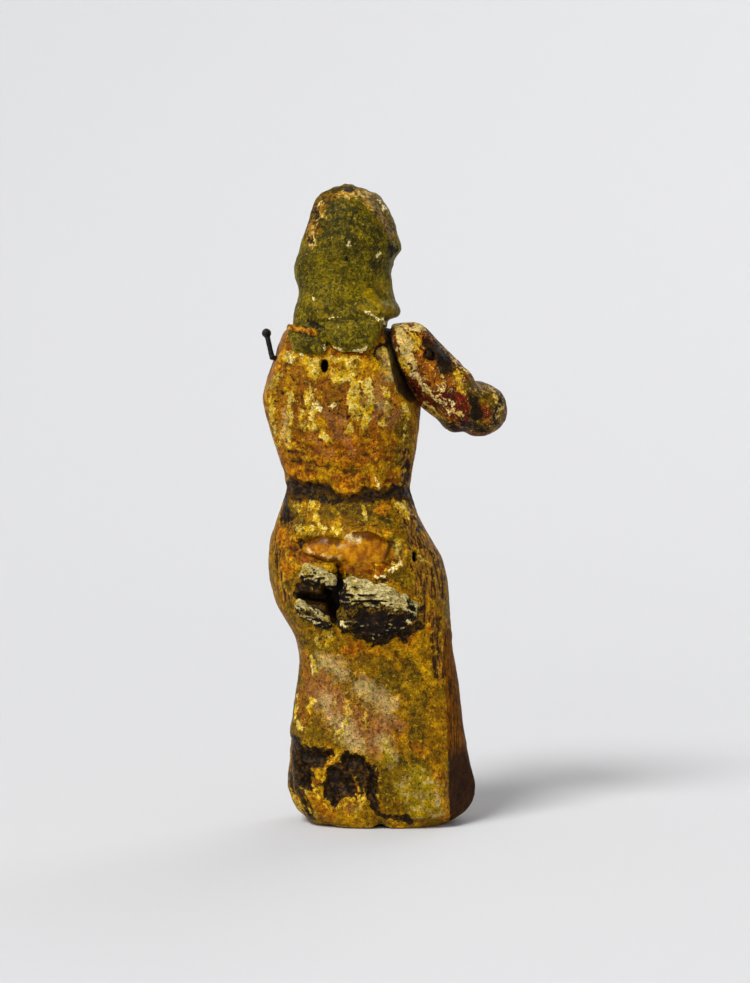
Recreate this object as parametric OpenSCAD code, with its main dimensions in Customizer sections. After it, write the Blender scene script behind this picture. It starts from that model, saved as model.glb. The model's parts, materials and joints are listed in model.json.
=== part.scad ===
// Small jointed figure, carved and painted, standing on the hem of its skirt.
// Millimetres. +Z up, -Y is the front of the figure, +X is the figure's own left.
// The origin is the middle of the underside that the figure stands on.

/* [Figure] */
// Height of the joint between the shoulders and the neck
neck_z = 118; // [116:0.5:120]
// Width of the hem
hem_w = 44; // [41:0.5:46]
// Width of the skirt at the knees
knee_w = 37; // [35:0.5:39]
// Width across the hips
hip_w = 43; // [41:0.5:45]
// Width of the waist
waist_w = 29.5; // [28:0.1:32]
// Width across the chest below the arms
chest_w = 38.4; // [37.5:0.1:40]
// Sideways distance from the middle of the base to the middle of the chest
sway = 9.6; // [9:0.1:10.2]

/* [Head] */
// Height of the head above the neck joint
head_h = 35; // [33:0.5:37]
// Width of the head with its hair
head_w = 22; // [20:0.1:24]
// Radius of the dowel inside the neck
dowel_r = 2.4; // [1.8:0.1:3]
// Length of the dowel inside the neck
dowel_len = 15; // [10:0.5:18]
// Radius of the hole in the crown
crown_hole_r = 0.6; // [0.4:0.1:0.9]
// Depth of the hole in the crown
crown_hole_len = 6; // [4:0.5:8]

/* [Arm] */
// Gap between the arm's inner face and the shoulder
arm_gap = 0.5; // [0.3:0.1:1]
// Radius of the sleeve at the shoulder
shoulder_r = 6.6; // [6.2:0.1:7]
// Radius of the sleeve at the elbow
elbow_r = 6.7; // [6.4:0.1:6.9]
// Radius of the cuff
cuff_r = 4.9; // [4.5:0.1:5.4]
// Length from the elbow to the cuff
forearm_len = 13; // [12:0.5:15]

/* [Pins] */
// Radius of the shank of an arm pin
pin_r = 0.6; // [0.5:0.05:0.7]
// Radius of the head of an arm pin
pin_head_r = 1.1; // [1:0.1:1.3]
// Radial play of the arm on its pin
pin_play = 0.06; // [0.03:0.01:0.08]
// Length of an arm pin inside the shoulder
pin_root = 9; // [7:0.5:10]

/* [Nail hole] */
// Radius of the old nail hole between the shoulder blades
nail_hole_r = 0.7; // [0.5:0.1:0.9]
// Depth of that nail hole
nail_hole_len = 8; // [6:0.5:9]

/* [Hidden] */

$fn = 32;
sides = 36;      // corners of one cross-section of a carved block
steps = 2;       // cross-sections from one station to the next
far = 60;        // longer than anything that is cut away

wood = [0.62, 0.45, 0.16];
hair = [0.33, 0.31, 0.10];
skin = [0.80, 0.62, 0.45];
gesso = [0.83, 0.76, 0.55];
iron = [0.10, 0.09, 0.08];
amber = [0.70, 0.38, 0.06];

// A station of a carved block: height, middle in X, width, depth in front, depth behind, squareness.
// The body's heights are shares of neck_z.
body_shares = [
    [0.000, 0.6,        hem_w * 0.74,   11.4, 11.8, 2.5],
    [0.018, 0.2,        hem_w * 0.88,   13.4, 13.0, 2.7],
    [0.036, -0.1,       hem_w * 0.96,   14.4, 13.6, 2.9],
    [0.070, 0.3,        hem_w * 1.02,   15.2, 14.2, 3.0],
    [0.130, 1.0,        hem_w * 0.98,   15.0, 14.0, 3.0],
    [0.200, 1.3,        hem_w * 0.94,   14.4, 13.4, 3.0],
    [0.270, 1.0,        hem_w * 0.89,   13.8, 12.8, 2.9],
    [0.340, 1.2,        knee_w,         13.4, 12.6, 2.8],
    [0.390, 2.6,        knee_w * 1.04,  13.2, 13.2, 2.6],
    [0.440, 4.6,        hip_w * 0.97,   13.2, 14.0, 2.4],
    [0.488, 5.6,        hip_w,          13.2, 14.4, 2.3],
    [0.537, 6.6,        hip_w * 0.97,   12.8, 13.6, 2.3],
    [0.586, 7.6,        hip_w * 0.865,  11.6, 12.0, 2.3],
    [0.635, 7.9,        waist_w * 1.10, 10.2, 10.2, 2.3],
    [0.684, 8.1,        waist_w,        9.6,  9.2,  2.3],
    [0.732, 8.4,        waist_w * 1.07, 10.4, 9.6,  2.4],
    [0.792, 9.1,        chest_w * 0.92, 12.0, 10.6, 2.5],
    [0.859, sway - 0.1, chest_w,        12.6, 11.2, 2.7],
    [0.919, sway,       chest_w,        11.4, 10.6, 2.8],
    [0.970, sway + 0.2, chest_w * 0.90, 9.0,  8.8,  2.7],
    [1.000, sway + 0.4, chest_w * 0.74, 6.6,  7.0,  2.5]];

// The head's heights are shares of head_h, from the neck joint up.
head_x = sway - 1.6;
head_shares = [
    [0.00, head_x + 1.9, head_w * 1.04, 3.6,  9.8,  2.6],
    [0.07, head_x + 1.9, head_w * 1.03, 3.8,  9.9,  2.6],
    [0.11, head_x + 0.7, head_w * 1.12, 4.4,  10.0, 2.5],
    [0.17, head_x + 1.1, head_w * 1.05, 5.0,  9.8,  2.4],
    [0.25, head_x + 1.0, head_w * 0.98, 7.4,  9.6,  2.3],
    [0.33, head_x + 0.8, head_w * 0.97, 9.6,  9.8,  2.2],
    [0.42, head_x + 1.0, head_w,        10.8, 10.2, 2.2],
    [0.58, head_x - 0.3, head_w * 1.01, 11.4, 10.8, 2.2],
    [0.74, head_x - 0.2, head_w * 0.91, 10.6, 10.2, 2.1],
    [0.83, head_x - 0.3, head_w * 0.82, 9.0,  8.8,  2.0],
    [0.91, head_x,       head_w * 0.62, 6.4,  6.6,  2.0],
    [0.97, head_x + 0.3, head_w * 0.36, 3.6,  4.0,  2.0],
    [1.00, head_x + 0.6, head_w * 0.12, 1.2,  1.6,  2.0]];

// A pivot is a point on a shoulder's flat face; the pin stands square on that face.
// A lean is how far that way out points back and up; side is -1 on the figure's right and 1 on its left.
function way_out(side, lean) = [side * sqrt(1 - lean * lean), lean[0], lean[1]];
right_pivot = [-4.3, 3.3, 109.1];
right_out = way_out(-1, [0.334, 0.272]);
left_pivot = [25.7, -1, 110.9];
left_out = way_out(1, [0.186, 0.315]);
pin_reach = 7.4;       // from the shoulder's face to the underside of the pin's head
pin_head_t = 0.8;      // thickness of the pin's head

// Middles of the balls that the sleeve is stretched over.
shoulder_at = right_pivot + [0.8, -2.3, 3.5];
shoulder_top = right_pivot + [-2.8, -2.3, 5.9];
upper_arm_end = right_pivot + [-14.9, -3.9, -9.4];
elbow_at = right_pivot + [-19.3, -5.8, -10.4];
forearm_way = [0.10, -0.98, 0.17];
cuff_at = elbow_at + forearm_len * forearm_way;
wrist_r = 1.8;         // radius of the peg on the hand
wrist_len = 5;         // length of that peg inside the cuff

neck_at = [head_x, 1, neck_z];
crown_hole_at = [7.9, 5.8, neck_z + head_h * 0.931];
crown_hole_way = [0, 0.6, 0.8];
nail_hole_at = [13.9, 10.4, 108.5];

// The pin of the lost arm leaves its face squarely and is bent upwards.
bend_reach = 0.8;
bend_at = left_pivot + left_out * bend_reach;
left_head_at = [27.8, -1.2, 117];

function between(a, b, c, d, t) =
    0.5 * (2 * b + (c - a) * t + (2 * a - 5 * b + 4 * c - d) * t * t + (3 * b - a - 3 * c + d) * t * t * t);
function station(rows, i) = rows[max(0, min(len(rows) - 1, i))];
function filled(rows) = concat(
    [for (i = [0:len(rows) - 2], k = [0:steps - 1])
        between(station(rows, i - 1), rows[i], rows[i + 1], station(rows, i + 2), k / steps)],
    [rows[len(rows) - 1]]);
function swell(v, squareness) = sign(v) * pow(abs(v), 2 / squareness);
function outline(row) = [for (k = [0:sides - 1]) let (a = 360 * (k + 0.5) / sides, s = swell(sin(a), row[5]))
    [row[1] + row[2] / 2 * swell(cos(a), row[5]), s * (s < 0 ? row[3] : row[4]), row[0]]];

// A closed block through the stations, flat at both ends; heights are shares of rise above base_z.
module block(shares, base_z, rise) {
    rows = [for (s = shares) concat([base_z + s[0] * rise], [for (i = [1:5]) s[i]])];
    rings = [for (r = filled(rows)) outline(r)];
    last = len(rings) - 1;
    points = [for (ring = rings, p = ring) p];
    walls = [for (j = [0:last - 1], k = [0:sides - 1])
        let (a = j * sides + k, b = j * sides + (k + 1) % sides)
        each [[a, a + sides, b], [b, a + sides, b + sides]]];
    floor_face = [for (k = [0:sides - 1]) k];
    top_face = [for (k = [sides - 1:-1:0]) last * sides + k];
    polyhedron(points, concat([floor_face], walls, [top_face]), convexity = 4);
}

// Children drawn along +Z from the origin start at a point and run along a direction.
module along(at, way) {
    translate(at) rotate([0, acos(way[2] / norm(way)), atan2(way[1], way[0])]) children();
}

// Everything on one side of a flat face.
module beyond(at, way) {
    along(at, way) translate([-far / 2, -far / 2, 0]) cube(far);
}

module ball(at, r) {
    translate(at) sphere(r);
}

module pin_shank(at, way, length) {
    along(at - way * pin_root, way) cylinder(r = pin_r, h = pin_root + length);
}

module neck_peg() {
    translate(neck_at - [0, 0, dowel_len / 2]) cylinder(r = dowel_r, h = dowel_len);
}

module body() {
    color(wood) difference() {
        block(body_shares, 0, neck_z);
        beyond(right_pivot, right_out);
        beyond(left_pivot, left_out);
        pin_shank(right_pivot, right_out, 1);
        pin_shank(left_pivot, left_out, 1);
        neck_peg();
        translate(nail_hole_at - [0, nail_hole_len, 0])
            rotate([-90, 0, 0]) cylinder(r = nail_hole_r, h = far);
    }
}

module head() {
    color(hair) difference() {
        union() {
            block(head_shares, neck_z, head_h);
            // hair that hangs down the back, over the middle and over the left shoulder
            hull() {
                ball([1.2, 8.0, neck_z + 4], 2);
                ball([15, 8.0, neck_z + 4], 2);
                ball([2.0, 9.0, neck_z - 1.4], 1.6);
                ball([12.6, 9.4, neck_z - 2], 1.6);
                ball([3.6, 10.0, neck_z - 4.6], 1.4);
                ball([9.8, 10.2, neck_z - 4.8], 1.4);
            }
            hull() {
                ball([14, 8.6, neck_z + 0.5], 1.6);
                ball([14.6, 9.6, neck_z - 5.6], 1.3);
                ball([19.8, 8.8, neck_z - 5.2], 1.2);
                ball([21.2, 6.4, neck_z - 1], 1.3);
            }
            // nose
            hull() {
                ball([head_x + 0.1, -11.4, neck_z + 16.4], 1);
                ball([head_x, -10.8, neck_z + 22], 0.7);
            }
        }
        neck_peg();
        along(crown_hole_at - crown_hole_way * crown_hole_len, crown_hole_way)
            cylinder(r = crown_hole_r, h = far);
    }
}

module neck_dowel() {
    color(wood) neck_peg();
}

module right_arm() {
    color(wood) difference() {
        union() {
            hull() {
                ball(shoulder_at, shoulder_r);
                ball(shoulder_top, shoulder_r * 0.68);
                ball(upper_arm_end, elbow_r);
            }
            hull() {
                ball(elbow_at, elbow_r);
                along(cuff_at - forearm_way * 1.5, forearm_way) cylinder(r = cuff_r, h = 1.5);
            }
        }
        beyond(right_pivot + right_out * arm_gap, -right_out);
        along(right_pivot, right_out) cylinder(r = pin_r + pin_play, h = far / 3);
        // pocket that the head of the pin lies in
        along(right_pivot + right_out * (pin_reach - 0.3), right_out)
            cylinder(r = pin_head_r + 0.4, h = far / 3);
        along(cuff_at - forearm_way * wrist_len, forearm_way) cylinder(r = wrist_r, h = far / 3);
    }
}

// Loosely closed hand on its peg; the knuckles are outside, the thumb on top.
module right_hand() {
    color(skin) {
        along(cuff_at - forearm_way * wrist_len, forearm_way) cylinder(r = wrist_r, h = wrist_len + 2);
        hull() {
            ball(cuff_at + forearm_way * 2.4, 2.3);
            ball(cuff_at + forearm_way * 5.6 + [1.2, 0, -1.4], 2.1);
            ball(cuff_at + forearm_way * 5.4 + [-0.9, 0, 1.2], 2.1);
        }
    }
}

module right_shoulder_pin() {
    color(iron) {
        pin_shank(right_pivot, right_out, pin_reach + 0.2);
        along(right_pivot + right_out * pin_reach, right_out) cylinder(r = pin_head_r, h = pin_head_t);
    }
}

module left_shoulder_pin() {
    way = left_head_at - bend_at;
    color(iron) {
        pin_shank(left_pivot, left_out, bend_reach);
        ball(bend_at, pin_r * 1.1);
        along(bend_at, way) cylinder(r = pin_r, h = norm(way));
        ball(left_head_at, pin_head_r);
    }
}

// Broken bow of cloth stiffened with gesso, glued to the back of the hips.
module sash_loop_right() {
    color(gesso) hull() {
        ball([7.4, 14.0, 57.2], 2.0);
        ball([8.4, 14.2, 48.6], 2.3);
        ball([-1.4, 14.2, 55.2], 1.7);
        ball([1.0, 14.2, 46.6], 2.1);
        ball([-5.8, 13.2, 50.0], 2.2);
        ball([-6.6, 12.6, 52.6], 1.1);
    }
}

module sash_loop_left() {
    color(gesso) hull() {
        ball([12.0, 14.0, 57.8], 1.6);
        ball([17.6, 12.6, 61.0], 1.5);
        ball([18.4, 11.8, 59.4], 1.2);
    }
}

module sash_tail() {
    color(gesso) hull() {
        ball([13.0, 13.2, 48.2], 1.4);
        ball([19.2, 11.0, 52.4], 1.4);
        ball([19.4, 10.6, 50.8], 1.1);
    }
}

// Amber glue that pooled above the bow.
module resin_patch() {
    color(amber) {
        hull() {
            ball([17.2, 10.3, 65.6], 1.8);
            ball([13.2, 11.4, 66.9], 1.8);
            ball([12.4, 12.0, 63.8], 1.8);
            ball([8.0, 12.0, 65.0], 2.2);
        }
        hull() {
            ball([7.2, 11.2, 67.8], 2.0);
            ball([3.2, 11.2, 68.0], 2.0);
            ball([6.4, 12.6, 62.6], 1.8);
            ball([0.8, 11.6, 63.2], 1.8);
            ball([0.0, 11.2, 66.0], 1.8);
        }
    }
}

body();
head();
neck_dowel();
right_arm();
right_hand();
right_shoulder_pin();
left_shoulder_pin();
sash_loop_right();
sash_loop_left();
sash_tail();
resin_patch();
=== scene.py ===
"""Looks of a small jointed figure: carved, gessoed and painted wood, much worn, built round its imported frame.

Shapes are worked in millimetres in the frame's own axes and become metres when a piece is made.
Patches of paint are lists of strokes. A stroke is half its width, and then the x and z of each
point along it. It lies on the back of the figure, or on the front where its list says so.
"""
import json
import math

import bmesh
import bpy
import numpy as np
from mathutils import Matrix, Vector


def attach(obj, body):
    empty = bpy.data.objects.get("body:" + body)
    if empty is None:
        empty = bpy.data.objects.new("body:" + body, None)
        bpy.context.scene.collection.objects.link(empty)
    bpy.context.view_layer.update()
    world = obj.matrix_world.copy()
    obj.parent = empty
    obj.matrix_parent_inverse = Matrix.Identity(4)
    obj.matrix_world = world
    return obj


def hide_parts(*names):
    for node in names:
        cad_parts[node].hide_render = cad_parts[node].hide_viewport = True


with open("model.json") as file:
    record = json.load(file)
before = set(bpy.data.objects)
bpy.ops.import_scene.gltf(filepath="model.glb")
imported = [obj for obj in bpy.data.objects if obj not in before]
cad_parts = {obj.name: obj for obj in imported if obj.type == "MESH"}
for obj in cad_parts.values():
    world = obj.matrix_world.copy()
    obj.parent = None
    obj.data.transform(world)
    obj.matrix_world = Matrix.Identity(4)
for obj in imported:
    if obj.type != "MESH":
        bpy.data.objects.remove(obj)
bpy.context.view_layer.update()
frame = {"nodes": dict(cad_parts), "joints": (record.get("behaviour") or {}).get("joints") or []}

MM = 0.001
REACH = 3.0          # how far outside its strokes a field of paint still says how far, in mm

swing = frame["joints"][0]
PIVOT = np.array(swing["pos_m"]) / MM
OUT = np.array(swing["axis"]) / np.linalg.norm(swing["axis"])


# ---------------------------------------------------------------- noise and fields

def lattice(ix, iy, iz, seed):
    """A scattered number from 0 to 1 that always comes out the same for a corner of the grid."""
    n = (ix * 73856093) ^ (iy * 19349663) ^ (iz * 83492791) ^ (seed * 265443576)
    n = ((n ^ (n >> 13)) & 0xffffffff) * 127412617
    n = (n ^ (n >> 16)) & 0xffffff
    return n / 0xffffff


def value_noise(p, cell, seed):
    """Smooth noise from 0 to 1 between the corners of a grid of cells of that size."""
    q = p / np.asarray(cell, float)
    i = np.floor(q).astype(np.int64)
    f = q - i
    f = f * f * (3 - 2 * f)
    total = 0
    for dx in (0, 1):
        for dy in (0, 1):
            for dz in (0, 1):
                share = np.abs(1 - dx - f[:, 0]) * np.abs(1 - dy - f[:, 1]) * np.abs(1 - dz - f[:, 2])
                total = total + share * lattice(i[:, 0] + dx, i[:, 1] + dy, i[:, 2] + dz, seed)
    return total


def cloud(p, cell, seed, octaves=3):
    """Layered noise from about -1 to 1; cell is the size of its largest lumps in mm."""
    total, weight = 0, 0
    for k in range(octaves):
        total = total + (value_noise(p, np.asarray(cell, float) / 2 ** k, seed + 17 * k) * 2 - 1) / 2 ** k
        weight += 1 / 2 ** k
    return total / weight


def step(low, high, v):
    """0 at low, 1 at high, with a soft rise between them; low may be the larger of the two."""
    t = np.clip((v - low) / (high - low), 0, 1)
    return t * t * (3 - 2 * t)


def inside(flat, strokes):
    """How far inside the nearest stroke each (x, z) point lies, in mm; negative outside."""
    best = np.full(len(flat), -REACH)
    for half, *run in strokes:
        run = np.reshape(run, (-1, 2)).astype(float)
        for a, b in zip(run[:-1], run[1:]):
            ab = b - a
            t = np.clip((flat - a) @ ab / max(ab @ ab, 1e-9), 0, 1)
            best = np.maximum(best, half - np.linalg.norm(flat - a - t[:, None] * ab, axis=1))
    return best


def shaken(p, far=1.5):
    """The (x, z) places of points, shaken so that a patch laid there gets a natural, uneven outline."""
    flat = p[:, [0, 2]].copy()
    for axis in (0, 1):
        flat[:, axis] += far * cloud(p, 2.8, 201 + axis, 2) + 0.5 * far * cloud(p, 1.0, 211 + axis, 2)
    return flat


def wild(p, cell, seed, share):
    """A field of paint that nobody laid: lumps of that size; the higher the share, the more they cover."""
    return (cloud(p, cell, seed) * 0.5 + share - 0.62) * 9


def bump(p, at, size):
    """A soft round lump of height 1 at a point, that wide in X, Y and Z."""
    return np.exp(-(((p - np.array(at)) / np.array(size)) ** 2).sum(1))


# ---------------------------------------------------------------- clay: meshes in millimetres

def mesh_of(bm, name="clay"):
    """Turns a bmesh into a mesh and lets the bmesh go."""
    mesh = bpy.data.meshes.new(name)
    bm.to_mesh(mesh)
    bm.free()
    return mesh


def add(name, data):
    """Puts a new object with that data into the scene."""
    obj = bpy.data.objects.new(name, data)
    bpy.context.scene.collection.objects.link(obj)
    return obj


def smooth_shading(mesh):
    mesh.polygons.foreach_set("use_smooth", np.ones(len(mesh.polygons), bool))


class Clay:
    """A closed mesh in millimetres that is pushed about before it becomes a piece."""

    def __init__(self, mesh):
        self.mesh = mesh

    @classmethod
    def of_nodes(cls, *nodes):
        bm = bmesh.new()
        for node in nodes:
            bm.from_mesh(frame["nodes"][node].data)
        bmesh.ops.scale(bm, vec=(1 / MM,) * 3, verts=bm.verts)
        bmesh.ops.remove_doubles(bm, verts=bm.verts, dist=1e-3)
        return cls(mesh_of(bm))

    @classmethod
    def of_balls(cls, chains):
        """Chains of balls: each chain is a list of (x, y, z, radius) that a round rod is stretched over."""
        bm = bmesh.new()
        for chain in chains:
            for a, b in zip(chain[:-1], chain[1:]):
                length = math.dist(a[:3], b[:3])
                count = max(2, int(length / (0.25 * min(a[3], b[3]))))
                for k in range(count + 1):
                    t = k / count
                    at = [a[i] + (b[i] - a[i]) * t for i in range(3)]
                    made = bmesh.ops.create_icosphere(bm, subdivisions=2, radius=a[3] + (b[3] - a[3]) * t)
                    bmesh.ops.translate(bm, vec=at, verts=made["verts"])
        return cls(mesh_of(bm))

    def join(self, other):
        bm = bmesh.new()
        bm.from_mesh(self.mesh)
        bm.from_mesh(other.mesh)
        self.mesh = mesh_of(bm)
        return self

    def remesh(self, size, relax=0):
        """One even skin round everything, with faces of that size."""
        holder = add("clay", self.mesh)
        skin = holder.modifiers.new("skin", "REMESH")
        skin.mode = "VOXEL"
        skin.voxel_size = size
        if relax:
            ease = holder.modifiers.new("ease", "SMOOTH")
            ease.factor = 0.5
            ease.iterations = relax
        graph = bpy.context.evaluated_depsgraph_get()
        self.mesh = bpy.data.meshes.new_from_object(holder.evaluated_get(graph))
        bpy.data.objects.remove(holder)
        return self

    @property
    def points(self):
        co = np.empty(len(self.mesh.vertices) * 3, np.float32)
        self.mesh.vertices.foreach_get("co", co)
        return co.reshape(-1, 3).astype(float)

    @points.setter
    def points(self, co):
        self.mesh.vertices.foreach_set("co", np.asarray(co, np.float32).ravel())
        self.mesh.update()

    @property
    def normals(self):
        nv = np.empty(len(self.mesh.vertices) * 3, np.float32)
        self.mesh.vertex_normals.foreach_get("vector", nv)
        return nv.reshape(-1, 3).astype(float)

    def creases(self, rounds=5):
        """How far each point lies below its surroundings, in mm: above 0 in creases, below 0 along edges."""
        ends = np.empty(len(self.mesh.edges) * 2, np.int32)
        self.mesh.edges.foreach_get("vertices", ends)
        a, b = ends[0::2], ends[1::2]
        p = self.points
        count = np.bincount(ends, minlength=len(p))
        smooth = p
        for _ in range(rounds):
            total = [np.bincount(a, smooth[b, axis], len(p)) + np.bincount(b, smooth[a, axis], len(p))
                     for axis in range(3)]
            smooth = np.stack(total, 1) / count[:, None]
        return ((smooth - p) * self.normals).sum(1)

    def swell(self, amount):
        """Moves every point along its normal by its own amount in mm."""
        self.points = self.points + self.normals * np.asarray(amount)[:, None]
        return self

    def trim(self, at, way, share=1.0):
        """Presses all that stands beyond a plane flat onto it, or only that share of the way."""
        p = self.points
        over = np.maximum((p - np.array(at)) @ np.array(way), 0) * share
        self.points = p - over[:, None] * np.array(way)
        return self

    def piece(self, name, body, slot, replaced, material, fields):
        """Makes the object: in metres, riding on its body, with its fields of paint."""
        fields["crease"] = self.creases()
        fields["basin"] = self.creases(40)
        self.points = self.points * MM
        mesh = self.mesh
        mesh.name = name
        for key, values in fields.items():
            layer = mesh.attributes.new(key, "FLOAT", "POINT")
            layer.data.foreach_set("value", np.asarray(values, np.float32))
        mesh.materials.clear()
        mesh.materials.append(material)
        smooth_shading(mesh)
        obj = add(name, mesh)
        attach(obj, body)
        if replaced:
            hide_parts(*replaced)
        return obj


# ---------------------------------------------------------------- materials

def srgb(r, g, b):
    """The opaque, linear colour that a shader wants, from a colour as a screen shows it."""
    return tuple(c / 12.92 if c <= 0.04045 else ((c + 0.055) / 1.055) ** 2.4 for c in (r, g, b)) + (1.0,)


class Paint:
    """A material built up in layers: each layer covers what lies under it where its mask says."""

    def __init__(self, name, base, rough=0.5, spec=0.07):
        self.material = bpy.data.materials.new(name)
        self.material.use_nodes = True
        self.tree = self.material.node_tree
        self.tree.nodes.clear()
        self.out = self.node("ShaderNodeOutputMaterial")
        self.shader = self.node("ShaderNodeBsdfPrincipled")
        self.shader.inputs["Specular IOR Level"].default_value = spec
        self.link(self.shader.outputs[0], self.out.inputs["Surface"])
        self.at = self.node("ShaderNodeTexCoord").outputs["Object"]
        self.colour = base
        self.rough = rough
        self.height = 0.0
        self.calls = 0

    def node(self, kind, **settings):
        made = self.tree.nodes.new(kind)
        for key, value in settings.items():
            setattr(made, key, value)
        return made

    def link(self, a, b):
        self.tree.links.new(a, b)

    def put(self, value, socket):
        """Feeds a socket with another one's output, or sets it where the value is plain."""
        if hasattr(value, "is_output"):
            self.link(value, socket)
        else:
            socket.default_value = value

    def math(self, operation, *values):
        made = self.node("ShaderNodeMath", operation=operation)
        for value, socket in zip(values, made.inputs):
            self.put(value, socket)
        return made.outputs[0]

    def field(self, name):
        return self.node("ShaderNodeAttribute", attribute_name=name).outputs["Fac"]

    def place(self, stretch):
        """Where a noise is looked up; every call is shifted, so no two layers share their lumps."""
        self.calls += 1
        made = self.node("ShaderNodeVectorMath", operation="MULTIPLY_ADD")
        self.link(self.at, made.inputs[0])
        made.inputs[1].default_value = tuple(1 / s for s in stretch)
        made.inputs[2].default_value = tuple(self.calls * s for s in (0.0137, 0.0291, 0.0073))
        return made.outputs[0]

    def noise(self, cell, detail=3.0, stretch=(1, 1, 1), warp=0.0, rough=0.6):
        """Noise from 0 to 1 with lumps of that many mm."""
        made = self.node("ShaderNodeTexNoise")
        self.link(self.place(stretch), made.inputs["Vector"])
        made.inputs["Scale"].default_value = 1 / (cell * MM)
        made.inputs["Detail"].default_value = detail
        made.inputs["Roughness"].default_value = rough
        made.inputs["Distortion"].default_value = warp
        return made.outputs["Fac"]

    def cracks(self, cell, width, stretch=(1, 1, 1)):
        """1 along the winding lines where a noise crosses its middle, 0 beside them."""
        off = self.math("ABSOLUTE", self.math("SUBTRACT", self.noise(cell, 3.0, stretch), 0.5))
        return self.span(off, width, 0.0)

    def span(self, value, low, high):
        """0 to 1 as a value rises from low to high, or as it falls where low is the larger."""
        made = self.node("ShaderNodeMapRange", interpolation_type="SMOOTHSTEP")
        self.put(value, made.inputs["Value"])
        made.inputs["From Min"].default_value = min(low, high)
        made.inputs["From Max"].default_value = max(low, high)
        made.inputs["To Min"].default_value = 0.0 if low < high else 1.0
        made.inputs["To Max"].default_value = 1.0 if low < high else 0.0
        return made.outputs["Result"]

    def ragged(self, name, ragged=0.8, cell=1.2, soft=0.12, stretch=(1, 1, 1), detail=6.0):
        """The mask of a field whose edge wanders by about that many mm and breaks up into flakes."""
        wander = self.math("MULTIPLY_ADD", self.noise(cell, detail, stretch), 6 * ragged, -3 * ragged)
        flakes = self.math("MULTIPLY_ADD", self.noise(0.4, 3.0, stretch), FRAY, -0.5 * FRAY)
        return self.span(self.math("ADD", self.field(name), self.math("ADD", wander, flakes)), -soft, soft)

    def blend(self, mask, under, over, mode="MIX"):
        """One colour where the mask is 0, the other where it is 1."""
        made = self.node("ShaderNodeMix", data_type="RGBA", blend_type=mode)
        factor, a, b, result = self.mix_sockets(made, "RGBA")
        self.put(mask, factor)
        self.put(under, a)
        self.put(over, b)
        return result

    @staticmethod
    def mix_sockets(mix, kind):
        """The sockets of a Mix node that serve its kind of data: factor, A, B and the result."""
        ends = {"VALUE": "_Float", "RGBA": "_Color"}[kind]
        a, b = (next(s for s in mix.inputs if s.identifier == letter + ends) for letter in "AB")
        result = next(s for s in mix.outputs if s.identifier == "Result" + ends)
        return next(s for s in mix.inputs if s.identifier == "Factor_Float"), a, b, result

    def mottle(self, first, second, cell=2.0, low=0.35, high=0.65, stretch=(1, 1, 1), detail=5.0):
        """Two colours in lumps; the nearer low and high lie, the crisper the lumps' edges."""
        return self.blend(self.span(self.noise(cell, detail, stretch), low, high), first, second)

    def cover(self, mask, colour, strength=1.0, rough=None, lift=0.0, mode="MIX"):
        """Lays a colour over all so far; lift is the layer's thickness in mm."""
        if strength < 1:
            mask = self.math("MULTIPLY", mask, strength)
        self.colour = self.blend(mask, self.colour, colour, mode)
        if rough is not None:
            made = self.node("ShaderNodeMix", data_type="FLOAT")
            factor, a, b, result = self.mix_sockets(made, "VALUE")
            self.put(mask, factor)
            self.put(self.rough, a)
            self.put(rough, b)
            self.rough = result
        if lift:
            self.raise_by(mask, lift)
        return mask

    def lay(self, layers, sheen=None):
        """Lays ragged-edged layers one over another; sheen gives them roughnesses of their own."""
        for name, colour, ragged, cell, soft, strength, lift in layers:
            rough = sheen.get(name, OLD_PAINT) if sheen else None
            self.cover(self.ragged(name, ragged, cell, soft), colour, strength, rough, lift)

    def grit(self, share=1.0):
        """Fine mottling of all that is painted so far, darker and lighter, at three sizes."""
        light = 1.0
        for cell, power in ((0.35, 1.0), (1.1, 1.1), (3.5, 0.9)):
            twice = self.math("MULTIPLY", self.noise(cell, 4.0), 2.0)
            light = self.math("MULTIPLY", self.math("POWER", twice, power * share), light)
        made = self.node("ShaderNodeHueSaturation")
        made.inputs["Saturation"].default_value = 1.06
        self.put(self.math("MULTIPLY", light, 1.08), made.inputs["Value"])
        self.put(self.colour, made.inputs["Color"])
        self.colour = made.outputs["Color"]

    def shade_dirt_and_wear(self, dirt_and_shade, worn, dirt_and_shade_share=0.75, worn_share=0.6):
        """Painted shade and dirt in the creases and broad hollows; broken flecks of the ground showing along
        the edges.
        """
        self.cover(self.span(self.field("basin"), 0.0, 0.5), dirt_and_shade, 0.6 * dirt_and_shade_share)
        crease = self.field("crease")
        self.cover(self.span(crease, 0.02, 0.09), dirt_and_shade, dirt_and_shade_share)
        broken = self.span(self.noise(0.7, 5.0), 0.46, 0.54)
        self.cover(self.math("MULTIPLY", self.span(crease, -0.03, -0.09), broken), worn, worn_share)

    def raise_by(self, value, lift):
        """Adds relief to the surface: where the value is 1 it stands that many mm higher."""
        self.height = self.math("MULTIPLY_ADD", value, lift, self.height)

    def done(self):
        """Joins colour, roughness and relief to the shader."""
        self.put(self.colour, self.shader.inputs["Base Color"])
        self.put(self.rough, self.shader.inputs["Roughness"])
        if hasattr(self.height, "is_output"):
            relief = self.node("ShaderNodeBump")
            relief.inputs["Strength"].default_value = 1.0
            relief.inputs["Distance"].default_value = MM
            self.link(self.height, relief.inputs["Height"])
            self.link(relief.outputs["Normal"], self.shader.inputs["Normal"])
        return self.material


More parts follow.
